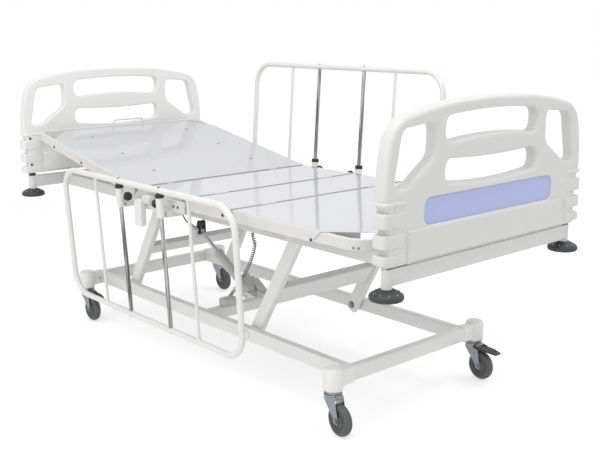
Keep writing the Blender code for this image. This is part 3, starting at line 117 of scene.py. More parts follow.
class Wire:
    """One value in a node tree; arithmetic on it adds Math nodes."""

    def __init__(self, tree, socket):
        self.tree = tree
        self.socket = socket

    def math(self, operation, first, second):
        node = self.tree.nodes.new("ShaderNodeMath")
        node.operation = operation
        for socket, value in zip(node.inputs, (first, second)):
            if isinstance(value, Wire):
                self.tree.links.new(value.socket, socket)
            else:
                socket.default_value = value
        return Wire(self.tree, node.outputs[0])

    def __add__(self, other):
        return self.math("ADD", self, other)

    def __sub__(self, other):
        return self.math("SUBTRACT", self, other)

    def __rsub__(self, other):
        return self.math("SUBTRACT", other, self)

    def __mul__(self, other):
        return self.math("MULTIPLY", self, other)

    def __gt__(self, other):
        return self.math("GREATER_THAN", self, other)

    __radd__ = __add__
    __rmul__ = __mul__


FINISHES = {}


class Finish:
    """A material that starts from one colour and takes varying values by name."""

    def __init__(self, name, colour, **constants):
        self.material = bpy.data.materials.new(f"{name}_finish")
        self.material.use_nodes = True
        FINISHES[name] = self.material
        self.tree = self.material.node_tree
        self.shader = self.tree.nodes["Principled BSDF"]
        self.colour = (*colour, 1.0)
        self.shader.inputs["Base Color"].default_value = self.colour
        for key, value in constants.items():
            label = key.replace("_", " ").title().replace("Ior", "IOR")
            self.shader.inputs[label].default_value = value
        self.place = add_node(self.tree, "ShaderNodeTexCoord").outputs["Object"]

    def node(self, kind, settings=None, sockets=None, output=0):
        return Wire(self.tree, add_node(self.tree, kind, settings, sockets).outputs[output])

    def noise(self, scale, detail=2.0, stretch=(1.0, 1.0, 1.0)):
        spread = self.node("ShaderNodeMapping", None, {"Vector": self.place, "Scale": stretch})
        return self.node("ShaderNodeTexNoise", None,
                         {"Vector": spread, "Scale": scale, "Detail": detail})

    def cells(self, scale):
        return self.node("ShaderNodeTexVoronoi", None,
                         {"Vector": self.place, "Scale": scale}, "Color")

    def mixed(self, mask, other, base=None):
        """The finish's own colour, or a base, turning into the other one where the mask is 1."""
        return self.node("ShaderNodeMix", {"data_type": "RGBA"},
                         {"Factor_Float": mask, "A_Color": base or self.colour,
                          "B_Color": (*other, 1.0)}, 2)

    def feed(self, socket, wire):
        self.tree.links.new(wire.socket, self.shader.inputs[socket])

    def bump(self, height, strength, distance):
        self.feed("Normal", self.node("ShaderNodeBump", None, {
            "Height": height, "Strength": strength, "Distance": distance}))


# %% [markdown]
# ## Coats, plastics and metals
# Powder coat is never quite flat: it has a fine orange peel and its gloss wanders a little. The
# deck's coat is smoother, so it mirrors the boards, and its folded sides, told by their distance
# from the middle plane, get painted light: a paler, warmer colour than the top. A darker copy of
# the white coat paints shade on the upper frame and the deck's end bars. Moulded plastic has a
# spark-eroded grain. All patterns use object coordinates in metres, so a scale of 700 means a
# grain of about one and a half millimetres.

# %% Paint and plastic
WORN = 0.93
# The folds' colour is painted light: the deck's sides are paler and warmer than its top.
FOLD_FROM, FOLD_PAINTED_LIGHT = 0.4262, (0.640, 0.632, 0.612)


def coat(name, colour, gloss, gloss_change, peel, peel_strength, **constants):
    """A painted or moulded surface: slow changes of tone and gloss over a fine grain."""
    finish = Finish(name, colour, **constants)
    tone = finish.noise(5.0, 3.0)
    handled = (finish.noise(38.0, 5.0) > 0.66) * finish.noise(3.0)
    worn = [channel * WORN for channel in colour]
    finish.feed("Base Color", finish.mixed(tone * 0.55 + handled * 0.25, worn))
    finish.feed("Roughness", finish.noise(24.0, 4.0) * gloss_change + gloss + handled * 0.06)
    finish.bump(finish.noise(peel, 1.0), peel_strength, 0.0006)
    return finish


coat("white_coat", (0.72, 0.72, 0.705), 0.26, 0.12, 620.0, 0.05)
# A darker copy of white_coat: painted shade for the upper frame and the deck's end bars.
coat("painted_shade_coat", (0.645, 0.643, 0.630), 0.26, 0.12, 620.0, 0.05)
deck = coat("deck_coat", (0.553, 0.556, 0.572), 0.05, 0.04, 300.0, 0.006, specular_ior_level=0.32)
# The folded sides, far from the middle plane, get the paler colour: painted light.
outward = deck.node("ShaderNodeSeparateXYZ", None, {"Vector": deck.place}, 1) - MID_Y
folded = outward * outward > FOLD_FROM ** 2
top_colour = deck.shader.inputs["Base Color"].links[0].from_socket
deck.feed("Base Color", deck.mixed(folded, FOLD_PAINTED_LIGHT, top_colour))
coat("ivory_plastic", (0.65, 0.648, 0.64), 0.28, 0.12, 1500.0, 0.07)
coat("pale_plastic", (0.75, 0.747, 0.735), 0.26, 0.12, 1500.0, 0.06)
coat("blue_panel", (0.405, 0.467, 0.740), 0.36, 0.10, 1800.0, 0.07)
coat("grey_plastic", (0.52, 0.52, 0.51), 0.36, 0.12, 1300.0, 0.12)
coat("black_plastic", (0.014, 0.014, 0.015), 0.34, 0.14, 1300.0, 0.12)
print("finishes", sorted(FINISHES))

# %% [markdown]
# Zinc plating shows spangles, which Voronoi cells give. Chrome's colour gets dark streaks along
# its length, painted reflections, and its gloss changes in faint lines along it. Rubber is dull
# and a little dusty, and the cord's jacket has an even, matt grain.

# %% Metal and rubber
zinc = Finish("zinc", (0.38, 0.40, 0.425), metallic=1.0)
spangle = zinc.cells(260.0)
zinc.feed("Base Color", zinc.mixed(spangle, (0.245, 0.26, 0.285)))
zinc.feed("Roughness", spangle * 0.16 + zinc.noise(60.0, 4.0) * 0.14 + 0.18)
zinc.bump(zinc.noise(900.0, 2.0), 0.06, 0.0004)

chrome = Finish("chrome", (0.58, 0.58, 0.575), metallic=1.0)
# Dark streaks along the rods' length are painted reflections.
reflection_noise = chrome.noise(150.0, 2.0, (1.0, 1.0, 0.012))
painted_reflection = (reflection_noise - 0.5) * 4.0 + 0.5
chrome.feed("Base Color", chrome.mixed(painted_reflection, (0.13, 0.13, 0.13)))
chrome.feed("Roughness", chrome.noise(260.0, 3.0, (1.0, 1.0, 0.04)) * 0.10 + 0.06)

steel = Finish("ground_steel", (0.66, 0.66, 0.65), metallic=1.0)
steel.feed("Roughness", steel.noise(120.0, 3.0) * 0.12 + 0.24)
steel.bump(steel.noise(1200.0, 1.0), 0.04, 0.0003)


def rubber(name, colour, gloss, dust):
    finish = Finish(name, colour)
    powder = finish.noise(22.0, 5.0) * finish.noise(180.0, 3.0)
    finish.feed("Base Color", finish.mixed(powder * dust, (0.32, 0.32, 0.31)))
    finish.feed("Roughness", finish.noise(40.0, 3.0) * 0.16 + gloss)
    finish.bump(finish.noise(700.0, 3.0), 0.16, 0.0005)


rubber("grey_tyre", (0.080, 0.081, 0.082), 0.48, 0.18)
rubber("slate_rubber", (0.030, 0.033, 0.038), 0.40, 0.08)
rubber("cord_jacket", (0.28, 0.28, 0.285), 0.44, 0.10)
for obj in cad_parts.values():
    plain = obj.data.materials[0].name.split(".")[0]
    obj.data.materials[0] = FINISHES[plain]
print("finishes", len(FINISHES))

# %% [markdown]
# ## Three ways to make a solid
# Nearly every piece here is a plate with rounded rims, a turned shape or a swept tube. A plate is
# skinned from rings: each ring is the outline, moved inwards while it climbs a quarter circle.
# One more ring on each flat side of a rounding keeps that side's shading flat, so that glossy
# sheet mirrors straight lines as straight lines.

# %% Solids
RIM_FLAT = 0.0006


def loop_inset(loop, distance):
    """A closed outline moved inwards by the distance, or outwards if it is negative."""
    corners = [Vector(p) for p in loop]
    pairs = list(zip(corners, corners[1:] + corners[:1]))
    way = 1 if sum(a.x * b.y - b.x * a.y for a, b in pairs) > 0 else -1
    inward = [Vector((a.y - b.y, b.x - a.x)).normalized() * way for a, b in pairs]
    return [p + (n + m) * distance / (1 + n.dot(m))
            for p, n, m in zip(corners, inward[-1:] + inward[:-1], inward)]


def skin(bm, rings):
    """Faces between rings of equal count."""
    for ring, after in zip(rings, rings[1:]):
        for i in range(len(ring)):
            j = (i + 1) % len(ring)
            bm.faces.new((ring[i], ring[j], after[j], after[i]))


def stacked(bm, loop, rows):
    """A skin of rings; each row says how far its ring moves inwards, and its height."""
    rings = [[bm.verts.new((*p, z)) for p in loop_inset(loop, inwards)] for inwards, z in rows]
    skin(bm, rings)
    return rings


def ring_edges(bm, ring):
    return [bm.edges.get(pair) or bm.edges.new(pair) for pair in zip(ring, ring[1:] + ring[:1])]


def rimmed(outline, z0, z1, r, steps=3, holes=(), pocket=None, under=None):
    """A plate between two heights with rims rounded by r, holes, and a shallow pocket on top."""
    bm = bmesh.new()
    under = under or r
    side_flat = min(RIM_FLAT, 0.25 * (z1 - z0 - r - under))
    angles = [math.pi / 2 * (1 - i / steps) for i in range(steps + 1)]
    fall = [(1 - math.cos(t), 1 - math.sin(t)) for t in angles]
    rows = [(r + RIM_FLAT, z1)] + [(r * d, z1 - r * drop) for d, drop in fall]
    rows += [(0.0, z1 - r - side_flat), (0.0, z0 + under + side_flat)]
    rows += [(under * d, z0 + under * drop) for d, drop in reversed(fall)]
    rows.append((under + RIM_FLAT, z0))
    top, bottom = [], []
    for loop, way in [(outline, 1), *((hole, -1) for hole in holes)]:
        rings = stacked(bm, loop, [(way * d, z) for d, z in rows])
        top += ring_edges(bm, rings[0])
        bottom += ring_edges(bm, rings[-1])
    if pocket:
        loop, depth, lip = pocket
        rings = stacked(bm, loop, [(-lip - RIM_FLAT, z1), (-lip, z1), (-0.1 * lip, z1 - 0.9 * lip),
                                   (0.0, z1 - lip), (0.0, z1 - depth)])
        top += ring_edges(bm, rings[0])
        bm.faces.new(rings[-1])
    bmesh.ops.triangle_fill(bm, edges=top, use_beauty=True)
    bmesh.ops.triangle_fill(bm, edges=bottom, use_beauty=True)
    return bm


def turned(profile, sides=32):
    """A profile of (radius, height) points turned about Z, ending on the axis or where it began."""
    bm = bmesh.new()
    angles = [math.tau * i / sides for i in range(sides)]
    rings = []
    for radius, height in profile:
        r = max(radius, 1e-7)
        rings.append([bm.verts.new((r * math.cos(a), r * math.sin(a), height)) for a in angles])
    skin(bm, rings)
    bmesh.ops.remove_doubles(bm, verts=bm.verts, dist=0.000001)
    return bm


def rod(radius, length, sides, edge=0.0):
    """A round bar along Z from the origin, with its two edges cut by the edge."""
    side = [(radius, edge), (radius, length - edge)]
    if edge:
        side = [(radius - edge, 0), *side, (radius - edge, length)]
    return turned([(0, 0), *side, (0, length)], sides)


def swept(path, radius, sides=16, closed=False):
    """A round tube along the points."""
    path = [Vector(p) for p in path]
    count = len(path)
    bm = bmesh.new()
    rings = []
    side = None
    for i, here in enumerate(path):
        before = path[i - 1] if closed or i else here
        after = path[(i + 1) % count] if closed or i < count - 1 else here
        along = (after - before).normalized()
        if side is None:
            side = along.orthogonal().normalized()
        side = (side - along * side.dot(along)).normalized()
        other = along.cross(side)
        rings.append([bm.verts.new(here + radius * (math.cos(a) * side + math.sin(a) * other))
                      for a in (math.tau * k / sides for k in range(sides))])
    if closed:
        rings.append(rings[0])
    skin(bm, rings)
    if not closed:
        bm.faces.new(rings[0])
        bm.faces.new(rings[-1])
    return bm


# %% [markdown]
# Small helpers round the corners of outlines and stand, turn or shift a solid. All of it is done
# on the mesh itself, so every finished object stays at the origin and its pattern stays put.

# %% Outlines and places


def arc(centre, radius, start, end, steps):
    """Points on a circle between two angles in degrees."""
    angles = [math.radians(start + (end - start) * i / steps) for i in range(steps + 1)]
    return [(centre[0] + radius * math.cos(a), centre[1] + radius * math.sin(a)) for a in angles]


def bend(a, control, b, steps):
    """Points from a to b on a curve drawn towards the control point."""
    a, control, b = Vector(a), Vector(control), Vector(b)
    return [tuple((1 - t) ** 2 * a + 2 * t * (1 - t) * control + t * t * b)
            for t in (i / steps for i in range(steps + 1))]


def eased(corners, radius, steps=4):
    """A polygon with its corners eased by about the radius."""
    points = []
    for i, here in enumerate(corners):
        here = Vector(here)
        before = (Vector(corners[i - 1]) - here).normalized()
        after = (Vector(corners[(i + 1) % len(corners)]) - here).normalized()
        points += bend(here + before * radius, here, here + after * radius, steps)
    return points


def capsule(a, b, radius, end_radius=None, steps=12):
    end_radius = end_radius or radius
    lie = math.degrees(math.atan2(b[1] - a[1], b[0] - a[0]))
    start = arc(a, radius, lie + 90, lie + 270, steps)
    return start + arc(b, end_radius, lie - 90, lie + 90, steps)


def rectangle(x0, x1, y0, y1):
    return [(x0, y0), (x1, y0), (x1, y1), (x0, y1)]


def span(side, a, b):
    """Two distances from the middle plane as a range on one side of it."""
    return sorted((side * a, side * b))


def block(x0, x1, y0, y1, z0, z1, r=0.003, steps=3):
    """A box with all its edges rounded."""
    return rimmed(eased(rectangle(x0, x1, y0, y1), r, steps), z0, z1, r, steps)


def moved(bm, matrix):
    bm.transform(matrix)
    return bm


def shift(x, y, z):
    return Matrix.Translation((x, y, z))


def turn(degrees, axis):
    return Matrix.Rotation(math.radians(degrees), 4, axis)


def standing(outline, y0, y1, r, steps=3):
    """A plate drawn in X and Z that fills from y0 to y1."""
    return moved(rimmed(outline, -y1, -y0, r, steps), turn(90, "X"))


def cheeks(outline, inside, outside, r, steps=3):
    """The same standing plate on both sides of the middle plane."""
    return [standing(outline, *span(side, inside, outside), r, steps) for side in (-1, 1)]


def towards(bm, start, direction):
    """A solid made along Z, laid along a direction from a point."""
    lie = Vector((0, 0, 1)).rotation_difference(Vector(direction)).to_matrix().to_4x4()
    return moved(bm, Matrix.Translation(start) @ lie)


def smooth_through(points, steps):
    """Points on a smooth curve through the given ones."""
    line = [Vector(p) for p in points]
    line = [2 * line[0] - line[1]] + line + [2 * line[-1] - line[-2]]
    path = []
    for a, b, c, d in zip(line, line[1:], line[2:], line[3:]):
        for i in range(steps):
            t = i / steps
            path.append(0.5 * (2 * b + (c - a) * t + (2 * a - 5 * b + 4 * c - d) * t * t
                               + (3 * b - a - 3 * c + d) * t ** 3))
    path.append(line[-2])
    return path


def put(name, parts, finish, body, nodes=(), sharp=40.0, place=None):
    """Joins solids into one shaded piece that rides on a body, if it is given one."""
    whole = bmesh.new()
    for part in parts:
        if place is not None:
            part.transform(place)
        loose = bpy.data.meshes.new("loose")
        part.to_mesh(loose)
        part.free()
        whole.from_mesh(loose)
        bpy.data.meshes.remove(loose)
    whole.transform(Matrix.Translation(ROW))
    bmesh.ops.recalc_face_normals(whole, faces=whole.faces)
    for face in whole.faces:
        face.smooth = True
    mesh = bpy.data.meshes.new(name)
    whole.to_mesh(mesh)
    whole.free()
    mesh.set_sharp_from_angle(angle=math.radians(sharp))
    mesh.materials.append(FINISHES[finish])
    obj = bpy.data.objects.new(name, mesh)
    bpy.context.scene.collection.objects.link(obj)
    if body:
        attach(obj, body)
    if nodes:
        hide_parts(*nodes)
    return obj


# %% [markdown]
# ## Cords
# The lift's motor gets its power through a coiled lead that hangs between the drive and the
# motor. It rides on its own body, and its straight tail ends in the drive. A thin black cable
# runs from the cross member to the lift's fork.

# %% Coiled lead and cable
LEAD_INLET = Vector((-0.12294, -0.006, 0.19216))
LEAD_TOP = Vector((-0.050, 0.0, 0.5589))
LEAD_TAIL = LEAD_TOP + Vector((0.006, 0.0, 0.030))
LEAD_END = LEAD_TOP + Vector((0.0104, 0.0, 0.052))
LEAD_RADIUS, COIL_RADIUS = 0.0025, 0.0056
CURLS, PER_CURL, TAIL_STEPS, EASE_CURLS = 62, 14, 44, 1.5


def spaced(path, count):
    """The same path as evenly spaced points."""
    lengths = [0.0]
    for a, b in zip(path, path[1:]):
        lengths.append(lengths[-1] + (b - a).length)
    places = []
    k = 0
    for i in range(count + 1):
        want = lengths[-1] * i / count
        while k < len(path) - 2 and lengths[k + 1] < want:
            k += 1
        share = (want - lengths[k]) / (lengths[k + 1] - lengths[k])
        places.append(path[k].lerp(path[k + 1], share))
    return places


def coil_round(path):
    """A coil round a path without its tail; both ends of the coil ease in."""
    count = CURLS * PER_CURL
    line = spaced(path, count)
    side = Vector((0.0, 1.0, 0.0))
    coil = []
    for i, place in enumerate(line):
        along = (line[min(i + 1, count)] - line[max(i - 1, 0)]).normalized()
        side = (side - along * side.dot(along)).normalized()
        turns = min(i - TAIL_STEPS, count - i) / PER_CURL
        reach = COIL_RADIUS * max(0.0, min(1.0, turns / EASE_CURLS))
        angle = math.tau * i / PER_CURL
        coil.append(place + reach * (math.cos(angle) * side + math.sin(angle) * along.cross(side)))
    return coil[TAIL_STEPS:]


def length_of(path):
    return sum((b - a).length for a, b in zip(path, path[1:]))


lead_line = [LEAD_TAIL, LEAD_TOP - Vector((0, 0, 4 * LEAD_RADIUS)),
             (-0.058, 0.0, 0.500), (-0.055, 0.0, 0.443), (-0.037, -0.005, 0.405),
             (-0.060, -0.018, 0.320), (-0.094, -0.038, 0.250), (-0.116, -0.056, 0.205),
             (-0.142, -0.060, 0.170), (-0.160, -0.040, 0.154),
             LEAD_INLET + Vector((-0.016, -0.006, -0.024)),
             LEAD_INLET + Vector((-0.0025, 0, -4 * LEAD_RADIUS)), LEAD_INLET]
lead_path = [LEAD_END] + coil_round(smooth_through(lead_line, 16))
lead_tube = swept(lead_path, LEAD_RADIUS, 8)
lead = put("coiled_lead", [lead_tube], "cord_jacket", "lead", ["lift_cord"], 60.0)
length_of(lead_path)
[p + ROW for p in lead_path]
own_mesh(lead)

CABLE_RADIUS = 0.0030
CABLE_TOP = Vector((-0.594, -0.020, 0.5589))
ARM_ANGLE = math.radians(59.8)
ARM_ALONG = Vector((math.cos(ARM_ANGLE), 0.0, math.sin(ARM_ANGLE)))
ARM_ACROSS = Vector((-math.sin(ARM_ANGLE), 0.0, math.cos(ARM_ANGLE)))
HEAD_PIVOT = Vector((-0.553, 0.0, 0.178))
cable_end = HEAD_PIVOT + 0.2585 * ARM_ALONG + 0.00865 * ARM_ACROSS + Vector((0, -0.0125, 0))
cable_line = [CABLE_TOP, CABLE_TOP + Vector((0.004, 0, -0.030)), (-0.550, -0.020, 0.493),
              (-0.514, -0.020, 0.455), (-0.487, -0.020, 0.432), (-0.455, -0.018, 0.426), cable_end]
cable_path = smooth_through(cable_line, 6)
cable_tube = swept(cable_path, CABLE_RADIUS, 10)
cable = put("release_line", [cable_tube], "black_plastic", None, ["release_cable"], 60.0)
cable_path[3] + ROW
cable_path[-4] + ROW
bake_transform(cable)
length_of(cable_path)
[p + ROW for p in cable_path]
print("lead", round(length_of(lead_path), 3), "m, cable", round(length_of(cable_path), 3), "m")

# %% [markdown]
# ## Geometry Nodes for fasteners
# Screws, rivets and bolt heads come in dozens. One node tree sets a domed head on every point of
# a mesh and turns it along an attribute called facing. Its inputs have names, so the same tree
# makes a fine rivet or a stout bolt.

# %% Fastener tree


def new_tree(name, inputs):
    """A Geometry Nodes tree with named inputs; gives the tree, the inputs and a maker of nodes."""
    tree = bpy.data.node_groups.new(name, "GeometryNodeTree")
    for way in ("INPUT", "OUTPUT"):
        tree.interface.new_socket("Geometry", in_out=way, socket_type="NodeSocketGeometry")
    for label, kind in {**inputs, "Finish": "Material"}.items():
        tree.interface.new_socket(label, in_out="INPUT", socket_type=f"NodeSocket{kind}")

    def add(kind, sockets, **settings):
        return add_node(tree, kind, settings, sockets).outputs[0]

    return tree, tree.nodes.new("NodeGroupInput").outputs, add


def joined(tree, *parts):
    node = tree.nodes.new("GeometryNodeJoinGeometry")
    for part in parts:
        tree.links.new(part, node.inputs[0])
    return node.outputs[0]


def closed_tree(tree, geometry, finish):
    """Ends a tree with real geometry in its material."""
    real = add_node(tree, "GeometryNodeRealizeInstances", None, {"Geometry": geometry})
    dressed = add_node(tree, "GeometryNodeSetMaterial", None,
                       {"Geometry": real.outputs[0], "Material": finish})
    tree.links.new(dressed.outputs[0], tree.nodes.new("NodeGroupOutput").inputs["Geometry"])
    return tree


def grown(tree, finish, values, mesh=None):
    """Runs a tree, on a mesh if it needs points, and gives the plain result as a bmesh."""
    obj = bpy.data.objects.new("grown", mesh or bpy.data.meshes.new("blank"))
    bpy.context.scene.collection.objects.link(obj)
    modifier = obj.modifiers.new("Nodes", "NODES")
    modifier.node_group = tree
    values = {**values, "Finish": FINISHES[finish]}
    for item in tree.interface.items_tree:
        if item.in_out == "INPUT" and item.name in values:
            modifier[item.identifier] = values[item.name]
    bpy.context.view_layer.update()
    graph = bpy.context.evaluated_depsgraph_get()
    plain = bpy.data.meshes.new_from_object(obj.evaluated_get(graph))
    obj.modifiers.remove(modifier)
    bpy.data.objects.remove(obj)
    bm = bmesh.new()
    bm.from_mesh(plain)
    bpy.data.meshes.remove(plain)
    return bm


def fastener_tree():
    tree, given, add = new_tree("domed_heads", {
        "Radius": "Float", "Height": "Float", "Sides": "Int"})
    facing = add("GeometryNodeInputNamedAttribute", {"Name": "facing"}, data_type="FLOAT_VECTOR")
    aim = add("FunctionNodeAlignRotationToVector", {"Vector": facing}, axis="Z")
    rim = add("GeometryNodeMeshCylinder", {
        "Vertices": given["Sides"], "Radius": given["Radius"], "Depth": given["Height"]})
    ball = add("GeometryNodeMeshUVSphere", {"Segments": 12, "Rings": 8, "Radius": given["Radius"]})
    squat = add("GeometryNodeTransform", {"Geometry": ball, "Scale": (0.8, 0.8, 0.42)})
    many = add("GeometryNodeInstanceOnPoints", {
        "Points": given["Geometry"], "Instance": joined(tree, rim, squat), "Rotation": aim})
    return closed_tree(tree, many, given["Finish"])


HEADS, HEAD_SIDES = fastener_tree(), 14


def put_heads(name, groups, radius, height, finish, body):
    """One piece of domed heads; each group has its places and the way that they face."""
    parts = []
    for places, facing in groups:
        mesh = bpy.data.meshes.new("places")
        mesh.from_pydata([tuple(p) for p in places], [], [])
        looks = mesh.attributes.new("facing", "FLOAT_VECTOR", "POINT")
        looks.data.foreach_set("vector", [c for _ in places for c in facing])
        values = {"Radius": radius, "Height": height, "Sides": HEAD_SIDES}
        parts.append(grown(HEADS, finish, values, mesh))
    put(name, parts, finish, body)


print("tree", HEADS.name, "nodes", len(HEADS.nodes))

# %% [markdown]
# ## Base frame
# Rectangular steel tube with rounded corners, welded into a ladder that carries the casters and
# the lower pivots. The middle beam holds the ears of the lift's motor. Side tubes sink a little
# into the end tubes, as a weld does.

# %% Base frame
BASE_HEAD_X, BASE_FOOT_X, FRAME_HALF, TUBE = -0.7725, 0.7872, 0.297, 0.030
BASE_LOW, BASE_HIGH, TUBE_EDGE = 0.153, 0.203, 0.0045
SINK, WELD, CROSS_HALF = 0.008, 0.0002, 0.272
LIFT_PIN = Vector((-0.070, 0.0, 0.190))
base_parts = []
for x in (BASE_HEAD_X, BASE_FOOT_X):
    base_parts.append(block(x - TUBE / 2, x + TUBE / 2, -FRAME_HALF, FRAME_HALF,
                            BASE_LOW, BASE_HIGH, TUBE_EDGE))
for side in (-1, 1):
    base_parts.append(block(BASE_HEAD_X + SINK, BASE_FOOT_X - SINK,
                            *span(side, FRAME_HALF - TUBE, FRAME_HALF - WELD),
                            BASE_LOW + WELD, BASE_HIGH - WELD, TUBE_EDGE))
base_parts.append(block(-0.035, 0.005, -CROSS_HALF, CROSS_HALF, BASE_LOW, 0.193, 0.004))
ear = capsule((-0.015, 0.178), (LIFT_PIN.x, LIFT_PIN.z), 0.018, 0.016)
base_parts += cheeks(ear, 0.0193, 0.0253, 0.0012)
put("base_tubes", base_parts, "white_coat", "base", ["base_frame"])
box_parts = [block(-0.036, 0.006, -0.190, -0.125, 0.1925, 0.2235, 0.005, 4)]
for y in (-0.176, -0.164, -0.152, -0.140):
    box_parts.append(block(-0.030, 0.0070, y - 0.002, y + 0.002, 0.200, 0.2248, 0.001, 2))
put("junction_box", box_parts, "grey_plastic", "base")
print("base", BASE_FOOT_X - BASE_HEAD_X, "m between end tubes")

# %% [markdown]
# ## Lift arms
# Two pairs of parallel arms lift the upper frame, each pair tied by a beam. Round caps cover the
# pivots outside, and hex nuts sit inside. They are drawn along X from the lower pivot and then
# turned up together.

# %% Arms
ARM_IN, ARM_OUT, ARM_LENGTH, GAP = 0.237, 0.262, 0.470, 0.0003
FOOT_PIVOT = HEAD_PIVOT + Vector((0.825, 0, 0))
RAISED = Matrix.Rotation(-ARM_ANGLE, 4, "Y")
HEAD_ARMS_PLACE = Matrix.Translation(HEAD_PIVOT) @ RAISED
FOOT_ARMS_PLACE = Matrix.Translation(FOOT_PIVOT) @ RAISED


def arm_pair(beam_at, beam_depth):
    beam_half = ARM_IN + 0.006
    parts = [block(beam_at - beam_depth / 2, beam_at + beam_depth / 2, -beam_half, beam_half,
                   -0.015, 0.015, 0.004)]
    flat_end = [(-0.021, 0.025), (-0.025, 0.021), (-0.025, -0.021), (-0.021, -0.025)]
    outline = arc((ARM_LENGTH, 0), 0.025, -90, 90, 14) + flat_end
    for side in (-1, 1):
        parts.append(standing(outline, *span(side, ARM_IN, ARM_OUT), 0.0035))
        for x in (0.0, ARM_LENGTH):
            cap = turned([(0, 0), (0.017, 0), (0.017, 0.0012), (0.0158, 0.0030), (0.0125, 0.0040),
                          (0, 0.0043)], 28)
            for part, y in ((rod(0.016, 0.0052, 28), ARM_OUT - 0.0005),
                            (rod(0.009, 0.032, 20), ARM_OUT + 0.004), (cap, FRAME_HALF + GAP)):
                parts.append(towards(part, (x, side * y, 0), (0, side, 0)))
    return parts


def arm_nuts():
    nuts = []
    for side in (-1, 1):
        for x in (0.0, ARM_LENGTH):
            nut = turned([(0, 0), (0.0108, 0), (0.0118, 0.0014), (0.0118, 0.0066), (0.0070, 0.0072),
                          (0.0064, 0.0095), (0, 0.0095)], 6)
            for part in (rod(0.0150, 0.0016, 24), nut):
                nuts.append(towards(part, (x, side * (ARM_IN + 0.0006), 0), (0, -side, 0)))
    return nuts


head_arms = arm_pair(0.206, 0.045)
head_arms.append(block(0.2235, 0.2785, -0.0375, -0.0158, -0.014, 0.014, 0.002))
put("head_arms_dressed", head_arms, "white_coat", "head_arms", ["head_lift_arms"],
    place=HEAD_ARMS_PLACE)
foot_arms = arm_pair(0.182, 0.078)
foot_arms.append(block(0.216, 0.251, 0.225, 0.241, -0.012, 0.012, 0.002))
put("foot_arms_dressed", foot_arms, "white_coat", "foot_arms", ["foot_lift_arms"],
    place=FOOT_ARMS_PLACE)
put("head_arm_nuts", arm_nuts(), "zinc", "head_arms", place=HEAD_ARMS_PLACE)
put("foot_arm_nuts", arm_nuts(), "zinc", "foot_arms", place=FOOT_ARMS_PLACE)

EYE_ALONG, EYE_ACROSS = 0.2665, -0.0127
FORK_END = (0.2965, 0.0046)
bracket = [block(0.2288, 0.2425, -0.0155, 0.0155, -0.0173, 0.0047, 0.002)]
plate = capsule((0.2425, -0.00635), (EYE_ALONG, EYE_ACROSS), 0.011, 0.0125)
bracket += cheeks(plate, 0.0095, 0.0150, 0.0015)
cheek = capsule((EYE_ALONG, EYE_ACROSS), FORK_END, 0.0145, 0.0125, 14)
fork_parts = cheeks(cheek, 0.0096, 0.0157, 0.0025)
web = capsule((0.2880, -0.0003), FORK_END, 0.0110, steps=14)
fork_parts.append(standing(web, -0.0098, 0.0098, 0.001))
pin = turned([(0, 0), (0.0055, 0), (0.0055, 0.034), (0.0045, 0.035), (0, 0.035)], 18)
fork_parts.append(towards(pin, (EYE_ALONG, -0.0175, EYE_ACROSS), (0, 1, 0)))
put("lift_fork_dressed", fork_parts, "black_plastic", "head_arms", ["lift_fork"],
    place=HEAD_ARMS_PLACE)
put("lift_fork_bracket", bracket, "white_coat", "head_arms", place=HEAD_ARMS_PLACE)
print("arms", ARM_LENGTH, "m")

# %% [markdown]
# ## Upper frame
# Two long tubes and two end beams, with a round post at each corner. Outriggers carry the guides
# of the side rails. Black collars sit between the posts and the end boards, and a flat bar
# carries the handset.

# %% Upper frame
UPPER_LOW, UPPER_HIGH, END_X, POST_Y = 0.5592, 0.6092, 1.080, 0.4375
STRAP_HIGH = UPPER_LOW + 0.007
RAIL_X, ROD_SPREAD = -0.091, 0.136
POST = [(0, 0.5382), (0.006, 0.5382), (0.006, 0.5502), (0.0155, 0.5502), (0.0165, 0.5512),
        (0.0165, UPPER_HIGH - 0.0015), (0.015, UPPER_HIGH), (0.011, UPPER_HIGH), (0.011, 0.697),
        (0.007, 0.7015), (0, 0.7015)]
STUB = [(0, 0), (0.007, 0.0006), (0.0125, 0.0035), (0.0162, 0.010), (0.017, 0.016), (0.017, 0.0595),
        (0, 0.060)]
upper_parts = []
for side in (-1, 1):
    upper_parts.append(block(SINK - END_X, END_X - SINK, *span(side, FRAME_HALF - TUBE, FRAME_HALF),
                             UPPER_LOW, UPPER_HIGH - WELD, TUBE_EDGE))
    for x in (RAIL_X - ROD_SPREAD, RAIL_X + ROD_SPREAD):
        upper_parts.append(block(x - 0.011, x + 0.011, *span(side, 0.291, 0.4792), 0.5975, 0.6195,
                                 0.002))
    for end in (-1, 1):
        upper_parts.append(moved(turned(POST), shift(end * END_X, side * POST_Y, 0)))
for end in (-1, 1):
    upper_parts.append(block(end * END_X - TUBE / 2, end * END_X + TUBE / 2, -POST_Y, POST_Y,
                             UPPER_LOW, UPPER_HIGH, 0.0025))
upper_parts.append(block(-0.615, -0.585, -CROSS_HALF, CROSS_HALF,
                         UPPER_LOW, UPPER_LOW + 0.030, 0.003))
for x in (-0.100, 0.0):
    upper_parts.append(block(x - 0.020, x + 0.020, -CROSS_HALF, CROSS_HALF,
                             UPPER_LOW + 0.0001, STRAP_HIGH, 0.001))
upper_parts.append(block(RAIL_X - ROD_SPREAD, RAIL_X + ROD_SPREAD, -0.452, -0.446, 0.6005, 0.6185,
                         0.001))
upper_parts.append(block(0.030, 0.125, -0.4525, -0.4462, 0.615, 0.659, 0.0012))
upper_parts.append(towards(turned(STUB), (RAIL_X - 0.040, -0.455, 0.638), (1, 0, 0)))
